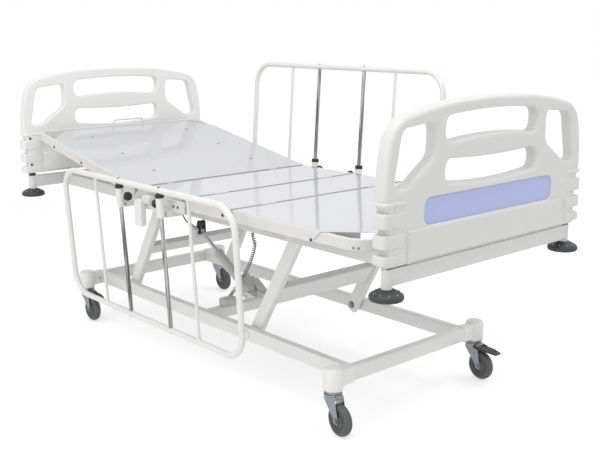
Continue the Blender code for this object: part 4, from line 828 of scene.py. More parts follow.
# The upper frame takes the darker coat: painted shade, as under the deck's overhang.
put("upper_tubes", upper_parts, "painted_shade_coat", "upper", ["upper_frame"])
plate_screws = [(0.062, -0.4525, 0.636), (0.089, -0.4525, 0.636)]
put_heads("plate_screws", [(plate_screws, (0, -1, 0))], 0.0052, 0.0018, "black_plastic", "upper")

collars = []
for end in (-1, 1):
    for side in (-1, 1):
        ring = rod(0.0150, 0.0125, 32, 0.0015)
        collars.append(moved(ring, shift(end * END_X, side * POST_Y, UPPER_HIGH)))
put("post_collars", collars, "black_plastic", "upper")
print("upper frame", 2 * END_X, "m")

# %% [markdown]
# ## Bumpers
# A slate disc under each post keeps walls safe. A ring of small bright studs runs round its top,
# so Geometry Nodes sets one stud on each corner of a mesh circle.

# %% Bumpers
BUMPER_FOOT, STUD_COUNT, STUD_HEIGHT = 0.5189, 10, 0.0222
BUMPER = [(0, 0), (0.044, 0), (0.0475, 0.0012), (0.0497, 0.0042), (0.050, 0.0070), (0.050, 0.0118),
          (0.0490, 0.0150), (0.0460, 0.0182), (0.0410, 0.0214), (0.0340, 0.0252), (0.0280, 0.0282),
          (0.0250, 0.0300), (0.0235, 0.0309), (0.0062, 0.0309), (0.0062, 0.019), (0, 0.019)]


def stud_tree():
    tree, given, add = new_tree("ring_of_studs", {
        "Count": "Int", "Ring Radius": "Float", "Stud Radius": "Float"})
    ring = add("GeometryNodeMeshCircle", {
        "Vertices": given["Count"], "Radius": given["Ring Radius"]})
    stud = add("GeometryNodeMeshIcoSphere", {"Radius": given["Stud Radius"], "Subdivisions": 2})
    many = add("GeometryNodeInstanceOnPoints", {"Points": ring, "Instance": stud})
    return closed_tree(tree, many, given["Finish"])


STUDS = stud_tree()
studs = []
for end_name, end in ENDS:
    for side_name, side in SIDES:
        seat = shift(end * END_X, side * POST_Y, BUMPER_FOOT)
        mark = f"{side_name}_{end_name}"
        put(f"bumper_disc_{mark}", [turned(BUMPER, 48)], "slate_rubber", "upper",
            [f"bumper_{mark}"], place=seat)
        ring = grown(STUDS, "zinc", {"Count": STUD_COUNT, "Ring Radius": 0.0400,
                                     "Stud Radius": 0.0025})
        studs.append(moved(ring, seat @ shift(0, 0, STUD_HEIGHT)))
put("bumper_studs", studs, "zinc", "upper")
print("studs", len(studs) * STUD_COUNT)

# %% [markdown]
# ## End boards
# Each board is one blown plastic moulding with deep, soft rims round its grips. The outline and
# its holes are skinned with a quarter circle on both faces. Ribbed blocks clasp the lower
# corners, and a shallow tray takes the blue panel.

# %% Boards
BOARD_HALF, BOARD_RIM, INNER_RIM = 0.0225, 0.0145, 0.0055
TRAY_DEPTH, TRAY_LIP = 0.0056, 0.0036


def board_outline():
    """The right half from the foot up, then its mirror image."""
    half = [(0.459, 0.0), (0.459, 0.06), (0.459, 0.120), (0.4605, 0.138), (0.4665, 0.156),
            (0.473, 0.172)]
    rise = [(0.4755, 0.190), (0.4735, 0.230), (0.470, 0.272), (0.459, 0.335), (0.4405, 0.378),
            (0.405, 0.4055), (0.365, 0.4165), (0.277, 0.4325), (0.168, 0.4445), (0.0, 0.450)]
    half += [(p.x, p.y) for p in smooth_through([(*p, 0.0) for p in rise], 6)]
    return half + [(-y, z) for y, z in reversed(half[:-1])]


def arched_slot(half_length, top, bottom, top_sag, bottom_sag):
    """A long grip whose edges bow by the sags towards its ends."""
    flat = half_length - (top - bottom) * 0.46
    steps = [1 - k / 4 for k in range(9)]
    upper = [(flat * t, top - top_sag * t * t) for t in steps]
    lower = [(flat * t, bottom - bottom_sag * t * t) for t in reversed(steps)]
    middle = (top + bottom - top_sag - bottom_sag) / 2

    def end(x, start, stop):
        first = bend(start, (x, start[1]), (x, middle), 7)[1:]
        return first + bend((x, middle), (x, stop[1]), stop, 7)[1:-1]

    left, right = end(-half_length, upper[-1], lower[0]), end(half_length, lower[-1], upper[0])
    return upper + left + lower + right


def board_holes():
    side = eased([(0.269, 0.290), (0.269, 0.388), (0.404, 0.376), (0.438, 0.210), (0.384, 0.210)],
                 0.026, 8)
    return [arched_slot(0.224, 0.411, 0.338, 0.008, 0.011),
            arched_slot(0.222, 0.268, 0.195, -0.007, -0.010),
            side, [(-y, z) for y, z in reversed(side)]]


def strip_outline(less):
    corners = rectangle(-0.312 + less, 0.312 - less, 0.093 + less, 0.172 - less)
    return eased(corners, 0.030 - less, 8)


STAND = Matrix(((0, 0, 1, 0), (1, 0, 0, 0), (0, 1, 0, 0), (0, 0, 0, 1)))
RIBS = ((0.0012, 0.030), (0.047, 0.087), (0.103, 0.147), (0.163, 0.1765))


def settled(line, sink, skirt):
    """An outline whose top sits lower by the sink and whose foot reaches down by the skirt."""
    low = [(y, z - sink * max(0.0, min(1.0, (z - 0.17) / 0.2))) for y, z in line]
    return [(y, z - skirt if z < 0.001 else z) for y, z in low]


def board_parts(sink, skirt):
    holes = [settled(hole, sink, 0.0) for hole in board_holes()]
    tray = (strip_outline(0.0), TRAY_DEPTH, TRAY_LIP)
    board = rimmed(settled(board_outline(), sink, skirt), -BOARD_HALF, BOARD_HALF, BOARD_RIM, 8,
                   holes, tray, INNER_RIM)
    parts = [moved(board, STAND)]
    for side in (-1, 1):
        for low, high in RIBS:
            ends = span(side, 0.388, 0.481 if high < 0.16 else 0.478)
            plan = eased(rectangle(-0.0254, 0.0254, *ends), 0.014, 6)
            parts.append(rimmed(plan, low, high, min(0.0062, 0.45 * (high - low)), 4))
        for (_, low), (high, _) in zip(RIBS, RIBS[1:]):
            middle = (low + high) / 2
            y = side * 0.433
            parts.append(block(-0.0243, 0.0243, y - 0.007, y + 0.007,
                               middle - 0.0062, middle + 0.0062, 0.0018))
    for face in (-1, 1):
        panel = eased(rectangle(-0.384, 0.384, 0.0033 - skirt, 0.0895), 0.004, 3)
        depth = span(face, BOARD_HALF - 0.006, BOARD_HALF + 0.0048)
        parts.append(moved(rimmed(panel, *depth, 0.0048, 4), STAND))
    return parts


def strip():
    plan = strip_outline(0.0009)
    return [moved(rimmed(plan, BOARD_HALF - 0.0055, BOARD_HALF - 0.0038, 0.0006, 2), STAND)]


foot_seat = shift(END_X + 0.003, 0, BOARD_FOOT)
head_seat = shift(-END_X, 0, BOARD_FOOT) @ turn(180, "Z")
put("foot_board_moulding", board_parts(0.0055, 0.0095), "ivory_plastic", "upper", ["foot_board"],
    30.0, place=foot_seat)
put("head_board_moulding", board_parts(0.0, 0.0), "pale_plastic", "upper", ["head_board"], 30.0,
    head_seat)
put("foot_board_strip", strip(), "blue_panel", "upper", ["foot_board_inset"], place=foot_seat)
put("head_board_strip", strip(), "blue_panel", "upper", place=head_seat)
screws = []
for seat in (foot_seat, head_seat):
    inward = (seat.to_3x3() @ Vector((-1, 0, 0))).to_tuple()
    for side in (-1, 1):
        places = [seat @ Vector((-0.0243, side * 0.448, height)) for height in (0.0385, 0.155)]
        screws.append((places, inward))
put_heads("board_screws", screws, 0.0050, 0.0016, "black_plastic", "upper")
print("boards", BOARD_RIM, "m rims")

# %% [markdown]
# ## Side rails
# A closed loop of round tube with two thin bars: a shape that follows a rule, so a tree makes it.
# A rectangle of curve gets its corners from Fillet Curve, a circle runs along it, and the bars
# are lines swept the same way.

# %% Rail loops
RAIL_LEAN, RAIL_Y, BUSH_TOP = 3.55, 0.4995, 0.6860
RAIL_HEIGHT, RAIL_RADIUS, RAIL_TRAVEL = 0.524, 0.0111, 0.392
ROD_IN, BOLT_IN, BOLT_RADIUS, BOLT_HEIGHT = 0.0106, 0.0004, 0.0058, 0.0022
RAIL_SIZES = {"Length": 1.128, "Height": RAIL_HEIGHT, "Corner": 0.090, "Tube": RAIL_RADIUS,
              "Bar": 0.00635, "Bar Spacing": 0.624}


def rail_tree():
    tree, given, add = new_tree("rail_loop", {label: "Float" for label in RAIL_SIZES})

    def tube(line, radius, resolution):
        ring = add("GeometryNodeCurvePrimitiveCircle", {"Resolution": resolution, "Radius": radius})
        return add("GeometryNodeCurveToMesh", {"Curve": line, "Profile Curve": ring})

    square = add("GeometryNodeCurvePrimitiveQuadrilateral", {
        "Width": given["Length"], "Height": given["Height"]})
    eased_line = add("GeometryNodeFilletCurve", {
        "Curve": square, "Count": 14, "Radius": given["Corner"]}, mode="POLY")
    loop = tube(eased_line, given["Tube"], 20)
    half = Wire(tree, given["Height"]) * 0.5
    start = add("ShaderNodeCombineXYZ", {"Y": half * -1.0})
    end = add("ShaderNodeCombineXYZ", {"Y": half})
    line = add("GeometryNodeCurvePrimitiveLine", {"Start": start, "End": end})
    bar = tube(line, given["Bar"], 14)
    first = add("ShaderNodeCombineXYZ", {"X": Wire(tree, given["Bar Spacing"]) * -0.5})
    stride = add("ShaderNodeCombineXYZ", {"X": given["Bar Spacing"]})
    places = add("GeometryNodeMeshLine", {"Count": 2, "Start Location": first, "Offset": stride})
    bars = add("GeometryNodeInstanceOnPoints", {"Points": places, "Instance": bar})
    return closed_tree(tree, joined(tree, loop, bars), given["Finish"])


def guide(side):
    """The top of a side's bushes, with Z along its leaning rods."""
    return shift(RAIL_X, side * RAIL_Y, BUSH_TOP) @ turn(-side * RAIL_LEAN, "X")


RAILS = rail_tree()
for name, side in SIDES:
    slide = guide(side) @ shift(0, 0, RAIL_RADIUS + GAP + (RAIL_TRAVEL if side > 0 else 0.0))
    loop = grown(RAILS, "white_coat", RAIL_SIZES)
    bmesh.ops.remove_doubles(loop, verts=loop.verts, dist=0.000005)
    body = f"{name}_rail"
    put(f"rail_loop_{name}", [loop], "white_coat", body, [f"side_rail_{name}"],
        place=slide @ shift(0, 0, -RAIL_HEIGHT / 2) @ turn(90, "X"))
    ups = (slide.to_3x3() @ Vector((0, 0, 1))).to_tuple()
    downs = tuple(-c for c in ups)
    bolts = []
    for end, way in ENDS:
        x = way * ROD_SPREAD
        chrome_rod = rod(0.008, RAIL_HEIGHT - 2 * ROD_IN, 24)
        put(f"chrome_rod_{name}_{end}", [chrome_rod], "chrome", body, [f"rail_rod_{name}_{end}"],
            place=slide @ shift(x, 0, ROD_IN - RAIL_HEIGHT))
        bolts.append(([slide @ Vector((x, 0, RAIL_RADIUS - BOLT_IN))], ups))
        bolts.append(([slide @ Vector((x, 0, BOLT_IN - RAIL_HEIGHT - RAIL_RADIUS))], downs))
    put_heads(f"rail_bolts_{name}", bolts, BOLT_RADIUS, BOLT_HEIGHT, "black_plastic", body)
print("rail loops", RAIL_HEIGHT, "m high")

# %% [markdown]
# Each rod runs through a white sleeve with a black bush on top. A spring catch with a round knob
# locks it. Sleeve, bush and knob are turned shapes, and the knob's rim gets soft flutes by moving
# its rings in and out.

# %% Sleeves, bushes and catches
SLEEVE = [(0.0086, -0.072), (0.0142, -0.072), (0.0150, -0.0712), (0.0150, -0.0008), (0.0142, 0),
          (0.0086, 0), (0.0086, -0.072)]
BOSS = [(0.0056, -0.017), (0.010, -0.017), (0.010, -0.0008), (0.0092, 0), (0.0056, 0),
        (0.0056, -0.017)]
BUSH = [(0.0085, 0.0003), (0.0160, 0.0003), (0.0162, 0.0040), (0.0158, 0.0100), (0.0148, 0.0130),
        (0.0130, 0.0140), (0.0085, 0.0140), (0.0085, 0.0003)]
KNOB = [(0, -0.0160), (0.0050, -0.0160), (0.0050, 0.0050), (0.0120, 0.0050), (0.0156, 0.0072),
        (0.0172, 0.0115), (0.0172, 0.0185), (0.0156, 0.0228), (0.0120, 0.0248), (0, 0.0252)]
FLUTES, FLUTED_FROM = 12, 0.0140


def knob():
    """A fluted knob along Z, with its shank below."""
    bm = turned(KNOB, 48)
    for v in bm.verts:
        if math.hypot(v.co.x, v.co.y) > FLUTED_FROM:
            flute = 1 - 0.035 * (1 + math.cos(FLUTES * math.atan2(v.co.y, v.co.x)))
            v.co.x *= flute
            v.co.y *= flute
    return bm


for name, side in SIDES:
    for end, way in ENDS:
        mark = f"{name}_{end}"
        top = guide(side) @ shift(way * ROD_SPREAD, 0, -0.0143) @ turn(180 if way > 0 else 0, "Z")
        catch_at = (0.025, 0.009 * side * way, -0.0290)
        boss = towards(turned(BOSS, 24), catch_at, (1, 0, 0))
        put(f"sleeve_{mark}", [turned(SLEEVE), boss], "white_coat", "upper",
            [f"rail_sleeve_{mark}"], place=top)
        put(f"bush_{mark}", [turned(BUSH)], "black_plastic", "upper", [f"rail_bush_{mark}"],
            place=top)
        catch = towards(knob(), catch_at, (1, 0, 0))
        put(f"catch_knob_{mark}", [catch], "black_plastic", f"catch_{mark}",
            [f"rail_plunger_{mark}"], place=top)
print("guides", len(SIDES) * len(ENDS))

# %% [markdown]
# ## Deck
# Four sections of glossy sheet, folded down along their sides. A section is drawn once as a
# cross-section with round folds and then pulled along X. The end sections go on as flat sheet
# with slanted corners.

# %% Deck sections
BACK_HINGE_X, HINGE_Z, THIGH_X, FOOT_X = -0.219, 0.6645, 0.091, 0.362
DECK_HALF, FOOT_HALF, FOOT_STOP, RIB_OUT = 0.430, 0.4277, 0.440, 0.289
SHEET, FOLD, FLAT, APRON_LOW, SECTION_EDGE = 0.002, 0.005, 0.001, -0.0385, 0.0102
BARREL, LEVER_Y, BEAM_HALF = 0.0297, 0.030, 0.277
SEAT_LONG, THIGH_LONG = 0.310, 0.271
BACK_PLACE = shift(BACK_HINGE_X, 0, HINGE_Z) @ turn(10.5, "Y") @ turn(180, "Z")
SEAT_PLACE = shift(BACK_HINGE_X, 0, HINGE_Z)
THIGH_PLACE = shift(THIGH_X, 0, HINGE_Z)
FOOT_PLACE = shift(FOOT_X, 0, HINGE_Z)


def channel(half):
    """Cross-section of a sheet with folded sides, in Y and Z."""

    def skin_line(wide, top, r):
        right = [(wide, APRON_LOW), (wide, top - r - FLAT)] + arc((wide - r, top - r), r, 0, 90, 6)
        right.append((wide - r - FLAT, top))
        return right + [(-y, z) for y, z in reversed(right)]

    outside = skin_line(half, SHEET / 2, FOLD)
    return outside + skin_line(half - SHEET, -SHEET / 2, FOLD - SHEET)[::-1]


def section(half, stop, rib_out, corners=(), slant=0.0):
    """A sheet from its hinge to the stop with ribs below, and flat on to any corners."""
    sheet = moved(rimmed(channel(half), SECTION_EDGE, stop, 0.0006, 2), STAND)
    for v in sheet.verts:
        if v.co.x > stop / 2:
            v.co.x += slant * (v.co.z - SHEET / 2)
    parts = [sheet]
    for side in (-1, 1):
        parts.append(block(0.0162, stop - 0.012, *span(side, rib_out - 0.022, rib_out), -0.055, 0.0,
                           0.002))
    for x in (SECTION_EDGE,) if corners else (SECTION_EDGE, stop - 0.0015):
        parts.append(block(x, x + 0.0015, 0.006 - half, half - 0.006, -0.012, 0.0, 0.0005, 2))
    if corners:
        edge = [(stop - 0.004, -half + FOLD), (stop, -half + 0.0004), *corners]
        edge += [(x, -y) for x, y in reversed(edge)]
        parts.append(rimmed(edge, -SHEET / 2, SHEET / 2 - 0.00002, 0.0006, 2))
    return parts


def lever(tip, foot):
    """A beam's two cheeks for a push rod."""
    plates = cheeks(capsule(foot, tip, 0.012, 0.014), 0.010, 0.016, 0.001, 2)
    return [moved(plate, shift(0, LEVER_Y, 0)) for plate in plates]


def knuckles(x, way, first):
    """Hinge barrels at x with leaves reaching the way; two sections share each pair of barrels."""
    parts = []
    for y in (-0.26, 0.26):
        low = y - BARREL - GAP if first else y + GAP
        parts.append(towards(rod(0.0035, BARREL, 16, 0.0006), (x, low, 0), (0, 1, 0)))
        leaf = sorted((x, x + way * 0.024))
        parts.append(block(*leaf, low, low + BARREL, -0.0030, -0.0008, 0.0005, 2))
    return parts


back_parts = section(DECK_HALF, 0.665, RIB_OUT, [(0.780, -0.315)]) + knuckles(0.0, 1, False)
back_parts.append(block(0.030, 0.060, -BEAM_HALF, BEAM_HALF, -0.032, 0.0, 0.002))
back_parts += lever((-0.04875, -0.06963), (0.045, -0.020))
put("backrest_sheet", back_parts, "deck_coat", "backrest", ["backrest_panel"], place=BACK_PLACE)
seat_parts = section(DECK_HALF, SEAT_LONG - SECTION_EDGE, RIB_OUT)
seat_parts += knuckles(0.0, 1, True) + knuckles(SEAT_LONG, -1, True)
put("seat_sheet", seat_parts, "deck_coat", "upper", ["seat_panel"], place=SEAT_PLACE)
thigh_parts = section(DECK_HALF, THIGH_LONG - SECTION_EDGE, RIB_OUT)
thigh_parts += knuckles(0.0, 1, False) + knuckles(THIGH_LONG, -1, True)
thigh_parts.append(block(0.024, 0.050, -BEAM_HALF, BEAM_HALF, -0.032, 0.0, 0.002))
thigh_parts += lever((-0.02556, -0.08107), (0.036, -0.020))
put("thigh_sheet", thigh_parts, "deck_coat", "thigh", ["thigh_panel"], place=THIGH_PLACE)
foot_parts = section(FOOT_HALF, FOOT_STOP, 0.2667, [(0.583, -0.290)], 1.05)
foot_parts += knuckles(0.0, 1, False)
put("foot_sheet", foot_parts, "deck_coat", "foot_section", ["foot_panel"], place=FOOT_PLACE)
print("sections", 4)

# %% [markdown]
# Bent bars run round both ends of the deck, with a wire stop for the mattress at the head. Rivets
# hold the sheets to their ribs, and dark screws hold the bars.

# %% Bars, stop and rivets
BAR_THICK, BAR_TOP, BAR_DEEP = 0.016, -0.0013, 0.036
FOOT_BAR_END, FOOT_BAR_HALF, FOOT_BAR_CORNER = 0.617, 0.4254, 0.085
SCREW_OUT = 0.4302


def u_bar(start, length, half_width, r):
    x, y = length - r, half_width - r
    outer = [(start, -half_width)] + arc((x, -y), r, -90, 0, 18)
    outer += arc((x, y), r, 0, 90, 18) + [(start, half_width)]
    inner = [(start, half_width - BAR_THICK)] + arc((x, y), r - BAR_THICK, 90, 0, 18)
    inner += arc((x, -y), r - BAR_THICK, 0, -90, 18) + [(start, BAR_THICK - half_width)]
    return rimmed(outer + inner, BAR_TOP - BAR_DEEP, BAR_TOP, 0.0035, 3)


back_bar = u_bar(0.030, 0.8245, 0.4277, 0.050)
# The bars take the darker coat too: painted shade.
put("backrest_bar", [back_bar], "painted_shade_coat", "backrest", ["backrest_frame"],
    place=BACK_PLACE)
foot_bar = u_bar(0.060, FOOT_BAR_END, FOOT_BAR_HALF, FOOT_BAR_CORNER)
put("foot_bar", [foot_bar], "painted_shade_coat", "foot_section", ["foot_section_frame"],
    place=FOOT_PLACE)
corner, wide, high = 0.018, 0.080, 0.036
wire = [(-wide, 0.0)] + arc((-wide + corner, high - corner), corner, 180, 90, 10)
wire += arc((wide - corner, high - corner), corner, 90, 0, 10) + [(wide, 0.0)]
stop = swept([(0.768, y, 0.0013 + up) for y, up in wire], 0.0040, 14)
put("mattress_wire", [stop], "white_coat", "backrest", ["mattress_stop"], place=BACK_PLACE)

up = (BACK_PLACE.to_3x3() @ Vector((0, 0, 1))).to_tuple()
rivets = [BACK_PLACE @ Vector((x, y, 0.0012)) for x in (0.158, 0.398, 0.655) for y in (-0.25, 0.25)]
put_heads("backrest_rivets", [(rivets, up)], 0.0060, 0.0014, "zinc", "backrest")
for name, side in SIDES:
    out = (0, side, 0)
    thigh_screw = (0.321, side * SCREW_OUT, 0.641)
    put_heads(f"thigh_screw_{name}", [([thigh_screw], out)], 0.0058, 0.0020, "black_plastic",
              "thigh")
    places = [BACK_PLACE @ Vector((x, -side * SCREW_OUT, -0.028)) for x in (0.42, 0.655)]
    put_heads(f"back_screws_{name}", [(places, out)], 0.0055, 0.0018, "black_plastic", "backrest")
    foot_screw = FOOT_PLACE @ Vector((0.397, side * 0.4280, -0.032))
    put_heads(f"foot_screw_{name}", [([foot_screw], out)], 0.0052, 0.0018, "black_plastic",
              "foot_section")
    centre = Vector((FOOT_BAR_END - FOOT_BAR_CORNER, side * (FOOT_BAR_HALF - FOOT_BAR_CORNER),
                     -0.0275))
    bar_heads = []
    for angle in (math.radians(65), math.radians(55)):
        aim = Vector((math.cos(angle), side * math.sin(angle), 0.0))
        bar_heads.append(([FOOT_PLACE @ (centre + 0.0853 * aim)], aim.to_tuple()))
    put_heads(f"bar_heads_{name}", bar_heads, 0.0046, 0.0016, "zinc", "foot_section")
print("rivets", len(rivets))

# %% [markdown]
# ## Casters
# A plastic socket clasps each corner of the base. Below it turns a zinc fork with a bearing, and
# in the fork runs a grey wheel. Two of the four have a black brake pedal. All four share one
# drawing, turned to their own trail.

# %% Casters
TRAIL, WHEEL_RADIUS, CASTER_HEIGHT, CASTER_Y = 0.0385, 0.052, 0.142, 0.3577
PEDAL_BEND, PEDAL_BEND_FROM = 1.5, 0.046
TRAILS = {"near_head": -0.5, "near_foot": -7.0, "far_head": -2.0, "far_foot": -5.0}
BRAKED = ("near_head", "far_foot")


def socket():
    foot = CASTER_HEIGHT + GAP
    head = foot + 0.074
    body = turned([(0, foot), (0.030, foot), (0.0322, foot + 0.0012), (0.033, foot + 0.004),
                   (0.033, head - 0.015), (0.0322, head - 0.0100), (0.0298, head - 0.0055),
                   (0.0255, head - 0.0022), (0.019, head - 0.0005), (0, head)], 40)
    return [body, block(-0.0176, 0.0176, 0.0, 0.0780, 0.1505, 0.2056, 0.0022, 3)]


def fork():
    under = CASTER_HEIGHT - 0.014
    race = turned([(0, under - 0.002), (0.026, under - 0.002), (0.0295, under),
                   (0.0300, under + 0.003), (0.0285, under + 0.0045), (0.0262, under + 0.0052),
                   (0.0262, under + 0.0072), (0.0285, under + 0.0080),
                   (0.0290, CASTER_HEIGHT - 0.003), (0.0270, CASTER_HEIGHT),
                   (0, CASTER_HEIGHT)], 40)
    parts = [race, block(-0.025, 0.0310, -0.020, 0.020, under - 0.0115, under + 0.0005, 0.004, 4)]
    shape = [(-0.0240, under - 0.003), (0.0300, under - 0.003)]
    shape += arc((TRAIL, WHEEL_RADIUS), 0.012, 15, -190, 14) + [(-0.0240, under - 0.018)]
    for side in (-1, 1):
        parts.append(standing(shape, *span(side, 0.016, 0.0192), 0.0009, 2))
        nut = turned([(0, 0), (0.0078, 0), (0.0086, 0.0010), (0.0086, 0.0042), (0.0050, 0.0045),
                      (0.0050, 0.0060), (0, 0.0062)], 6)
        parts.append(towards(nut, (TRAIL, side * 0.0188, WHEEL_RADIUS), (0, side, 0)))
    parts.append(towards(rod(0.0045, 0.038, 18), (TRAIL, -0.019, WHEEL_RADIUS), (0, 1, 0)))
    return parts


def wheel():
    """Tyre, groove and hub in one turned shape about Y."""
    half = 0.014
    side = [(0.0050, half + 0.0010), (0.0115, half + 0.0010), (0.0130, half - 0.0004),
            (0.0150, half - 0.0030), (0.0235, half - 0.0036), (0.0250, half - 0.0016),
            (0.0275, half - 0.0016), (0.0290, half - 0.0034), (0.0330, half - 0.0034),
            (0.0345, half - 0.0008), (0.0410, half), (0.0450, half - 0.0008),
            (0.0490, half - 0.0034), (0.0512, half - 0.0070), (WHEEL_RADIUS, half - 0.0110)]
    profile = side + [(radius, -y) for radius, y in reversed(side)] + [side[0]]
    return moved(turned(profile, 56), turn(-90, "X"))


def wheel_rings():
    """Fine dark rings on both faces of a wheel."""
    angles = [math.tau * i / 48 for i in range(48)]
    rings = []
    for radius, out in ((0.0262, 0.0123), (0.0385, 0.0136)):
        for y in (-out, out):
            line = [(radius * math.cos(a), y, radius * math.sin(a)) for a in angles]
            rings.append(swept(line, 0.0010, 8, True))
    return rings


def pedal_fall(x):
    return PEDAL_BEND * max(0.0, x - PEDAL_BEND_FROM) ** 2


def pedal():
    """Brake pedal about its pivot, reaching along X."""
    plan = eased([(0.016, -0.0233), (0.056, -0.0233), (0.096, -0.0150), (0.096, 0.0150),
                  (0.056, 0.0233), (0.016, 0.0233)], 0.006, 4)
    tread = rimmed(plan, -0.0062, -0.0012, 0.0013, 3)
    for v in tread.verts:
        v.co.z -= pedal_fall(v.co.x)
    parts = [tread]
    parts += cheeks(capsule((0, 0), (0.024, -0.005), 0.0052), 0.0203, 0.0233, 0.0008, 2)
    for k in range(4):
        x = 0.036 + 0.013 * k
        fall = pedal_fall(x)
        parts.append(block(x - 0.0012, x + 0.0012, -0.017, 0.017, -0.004 - fall, -0.0004 - fall,
                           0.0005, 2))
    return parts


for mark, heading in TRAILS.items():
    side = -1 if mark.startswith("near") else 1
    inner = 1 if mark.endswith("head") else -1
    place = shift(BASE_HEAD_X if inner > 0 else BASE_FOOT_X, side * CASTER_Y, 0.0)
    swivel = place @ turn(heading, "Z")
    hub = swivel @ shift(TRAIL, 0, WHEEL_RADIUS)
    put(f"socket_{mark}", socket(), "pale_plastic", "base", [f"caster_socket_{mark}"],
        place=place @ turn(180 if side > 0 else 0, "Z"))
    screw = place @ Vector((inner * 0.0176, side * -0.052, 0.176))
    put_heads(f"socket_screw_{mark}", [([screw], (inner, 0, 0))], 0.0042, 0.0014, "zinc", "base")
    put(f"fork_{mark}", fork(), "zinc", f"swivel_{mark}", [f"caster_fork_{mark}"], place=swivel)
    put(f"wheel_{mark}", [wheel()], "grey_tyre", f"wheel_{mark}", [f"caster_wheel_{mark}"], 50.0,
        place=hub)
    put(f"wheel_rings_{mark}", wheel_rings(), "slate_rubber", f"wheel_{mark}", place=hub)
    if mark in BRAKED:
        put(f"pedal_{mark}", pedal(), "black_plastic", f"pedal_{mark}", [f"brake_pedal_{mark}"],
            place=swivel @ shift(0.022, 0, CASTER_HEIGHT - 0.020))
print("casters", len(TRAILS))

# %% [markdown]
# ## Lift motor
# A grey linear actuator: gearbox, motor can, outer tube with an end ring, and a bright rod with
# its eye. It is drawn along X from its lower pin and turned to the slope of the rest position.

# %% Lift motor
OUTER_TUBE = [(0.0092, 0.0), (0.0190, 0.0), (0.0190, 0.174), (0.0205, 0.175), (0.0205, 0.190),
              (0.0190, 0.192), (0.0150, 0.1935), (0.0092, 0.1935), (0.0092, 0.0)]
CAN = [(0, 0), (0.0190, 0), (0.0200, 0.0010), (0.0200, 0.024), (0.0194, 0.0255), (0.0200, 0.027),
       (0.0200, 0.0315), (0.0180, 0.0340), (0, 0.0340)]
SHAFT_FROM, SHAFT_SHORT = 0.199, 0.008
LIFT_EYE = HEAD_PIVOT + EYE_ALONG * ARM_ALONG + EYE_ACROSS * ARM_ACROSS
slope = math.degrees(math.atan2(LIFT_EYE.z - LIFT_PIN.z, LIFT_EYE.x - LIFT_PIN.x))
reach = (LIFT_EYE - LIFT_PIN).length
motor_place = Matrix.Translation(LIFT_PIN) @ turn(-slope, "Y")
motor_parts = [towards(rod(0.015, 0.038, 28, 0.0008), (0, -0.019, 0), (0, 1, 0)),
               block(0.004, 0.080, -0.019, 0.018, -0.026, 0.026, 0.005, 4),
               block(0.024, 0.078, 0.0, 0.059, -0.025, 0.025, 0.006, 4),
               towards(turned(OUTER_TUBE, 36), (0.0685, 0, 0), (1, 0, 0)),
               block(-0.016, 0.060, 0.0265, 0.064, -0.032, 0.027, 0.007, 4),
               towards(turned(CAN, 36), (0.070, 0.038, 0), (1, 0, 0)),
               towards(rod(0.006, 0.058, 20, 0.0008), (0, -0.029, 0), (0, 1, 0))]
put("actuator", motor_parts, "grey_plastic", "motor", ["lift_motor"], place=motor_place)
shaft = rod(0.0085, reach - SHAFT_SHORT - SHAFT_FROM, 28)
rod_parts = [towards(shaft, (SHAFT_FROM, 0, 0), (1, 0, 0)),
             towards(rod(0.012, 0.017, 28, 0.001), (reach, -0.0085, 0), (0, 1, 0))]
put("actuator_rod", rod_parts, "ground_steel", "motor_rod", ["lift_rod"],
    place=motor_place)
print("slope", round(slope, 2), "degrees, reach", round(reach, 4), "m")

# %% [markdown]
# ## Twin drive and handset
# The drive under the seat is a soft-edged grey case that pushes two rods. The handset hangs on
# the flat bar between the sleeves; a grid of small keys on its pad comes from one more tree.

# %% Twin drive
DRIVE_FLOOR, PUSH_HEIGHT = STRAP_HIGH + GAP, 0.583423
DRIVE_RING = [(0.0088, 0), (0.0145, 0), (0.0145, 0.0035), (0.0125, 0.0050), (0.0088, 0.0050),
              (0.0088, 0)]
case = [block(-0.130, 0.030, -0.060, 0.060, DRIVE_FLOOR, DRIVE_FLOOR + 0.070, 0.009, 5)]
for x, way in ((-0.128, -1), (0.028, 1)):
    ring_at = (x - way * 0.0035, way * LEVER_Y, PUSH_HEIGHT)
    case.append(towards(turned(DRIVE_RING, 28), ring_at, (way, 0, 0)))
put("drive_case", case, "grey_plastic", "upper", ["twin_drive"])
for node, body in (("backrest_push_rod", "back_push"), ("leg_push_rod", "leg_push")):
    low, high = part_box(node)
    bar = rod(0.008, high.x - low.x, 24, 0.0008)
    start = (low.x, (low.y + high.y) / 2 - MID_Y, (low.z + high.z) / 2)
    put(f"{node}_bright", [towards(bar, start, (1, 0, 0))], "ground_steel", body, [node])
print("drive", round(DRIVE_FLOOR, 4), "m above the floor")

# %% Handset
HAND_HALF, HAND_FOOT, HAND_TOP, HAND_FRONT, HAND_REAR = 0.0225, 0.5358, 0.6358, -0.4776, -0.4523
HOOK_HALF = 0.012


def key_tree():
    tree, given, add = new_tree("grid_of_keys", {
        "Columns": "Int", "Rows": "Int", "Width": "Float", "Height": "Float", "Key": "Float"})
    grid = add("GeometryNodeMeshGrid", {
        "Size X": given["Width"], "Size Y": given["Height"],
        "Vertices X": given["Columns"], "Vertices Y": given["Rows"]})
    ball = add("GeometryNodeMeshUVSphere", {"Segments": 18, "Rings": 10, "Radius": given["Key"]})
    flat = add("GeometryNodeTransform", {"Geometry": ball, "Scale": (1.0, 1.0, 0.22)})
    many = add("GeometryNodeInstanceOnPoints", {"Points": grid, "Instance": flat})
    return closed_tree(tree, many, given["Finish"])


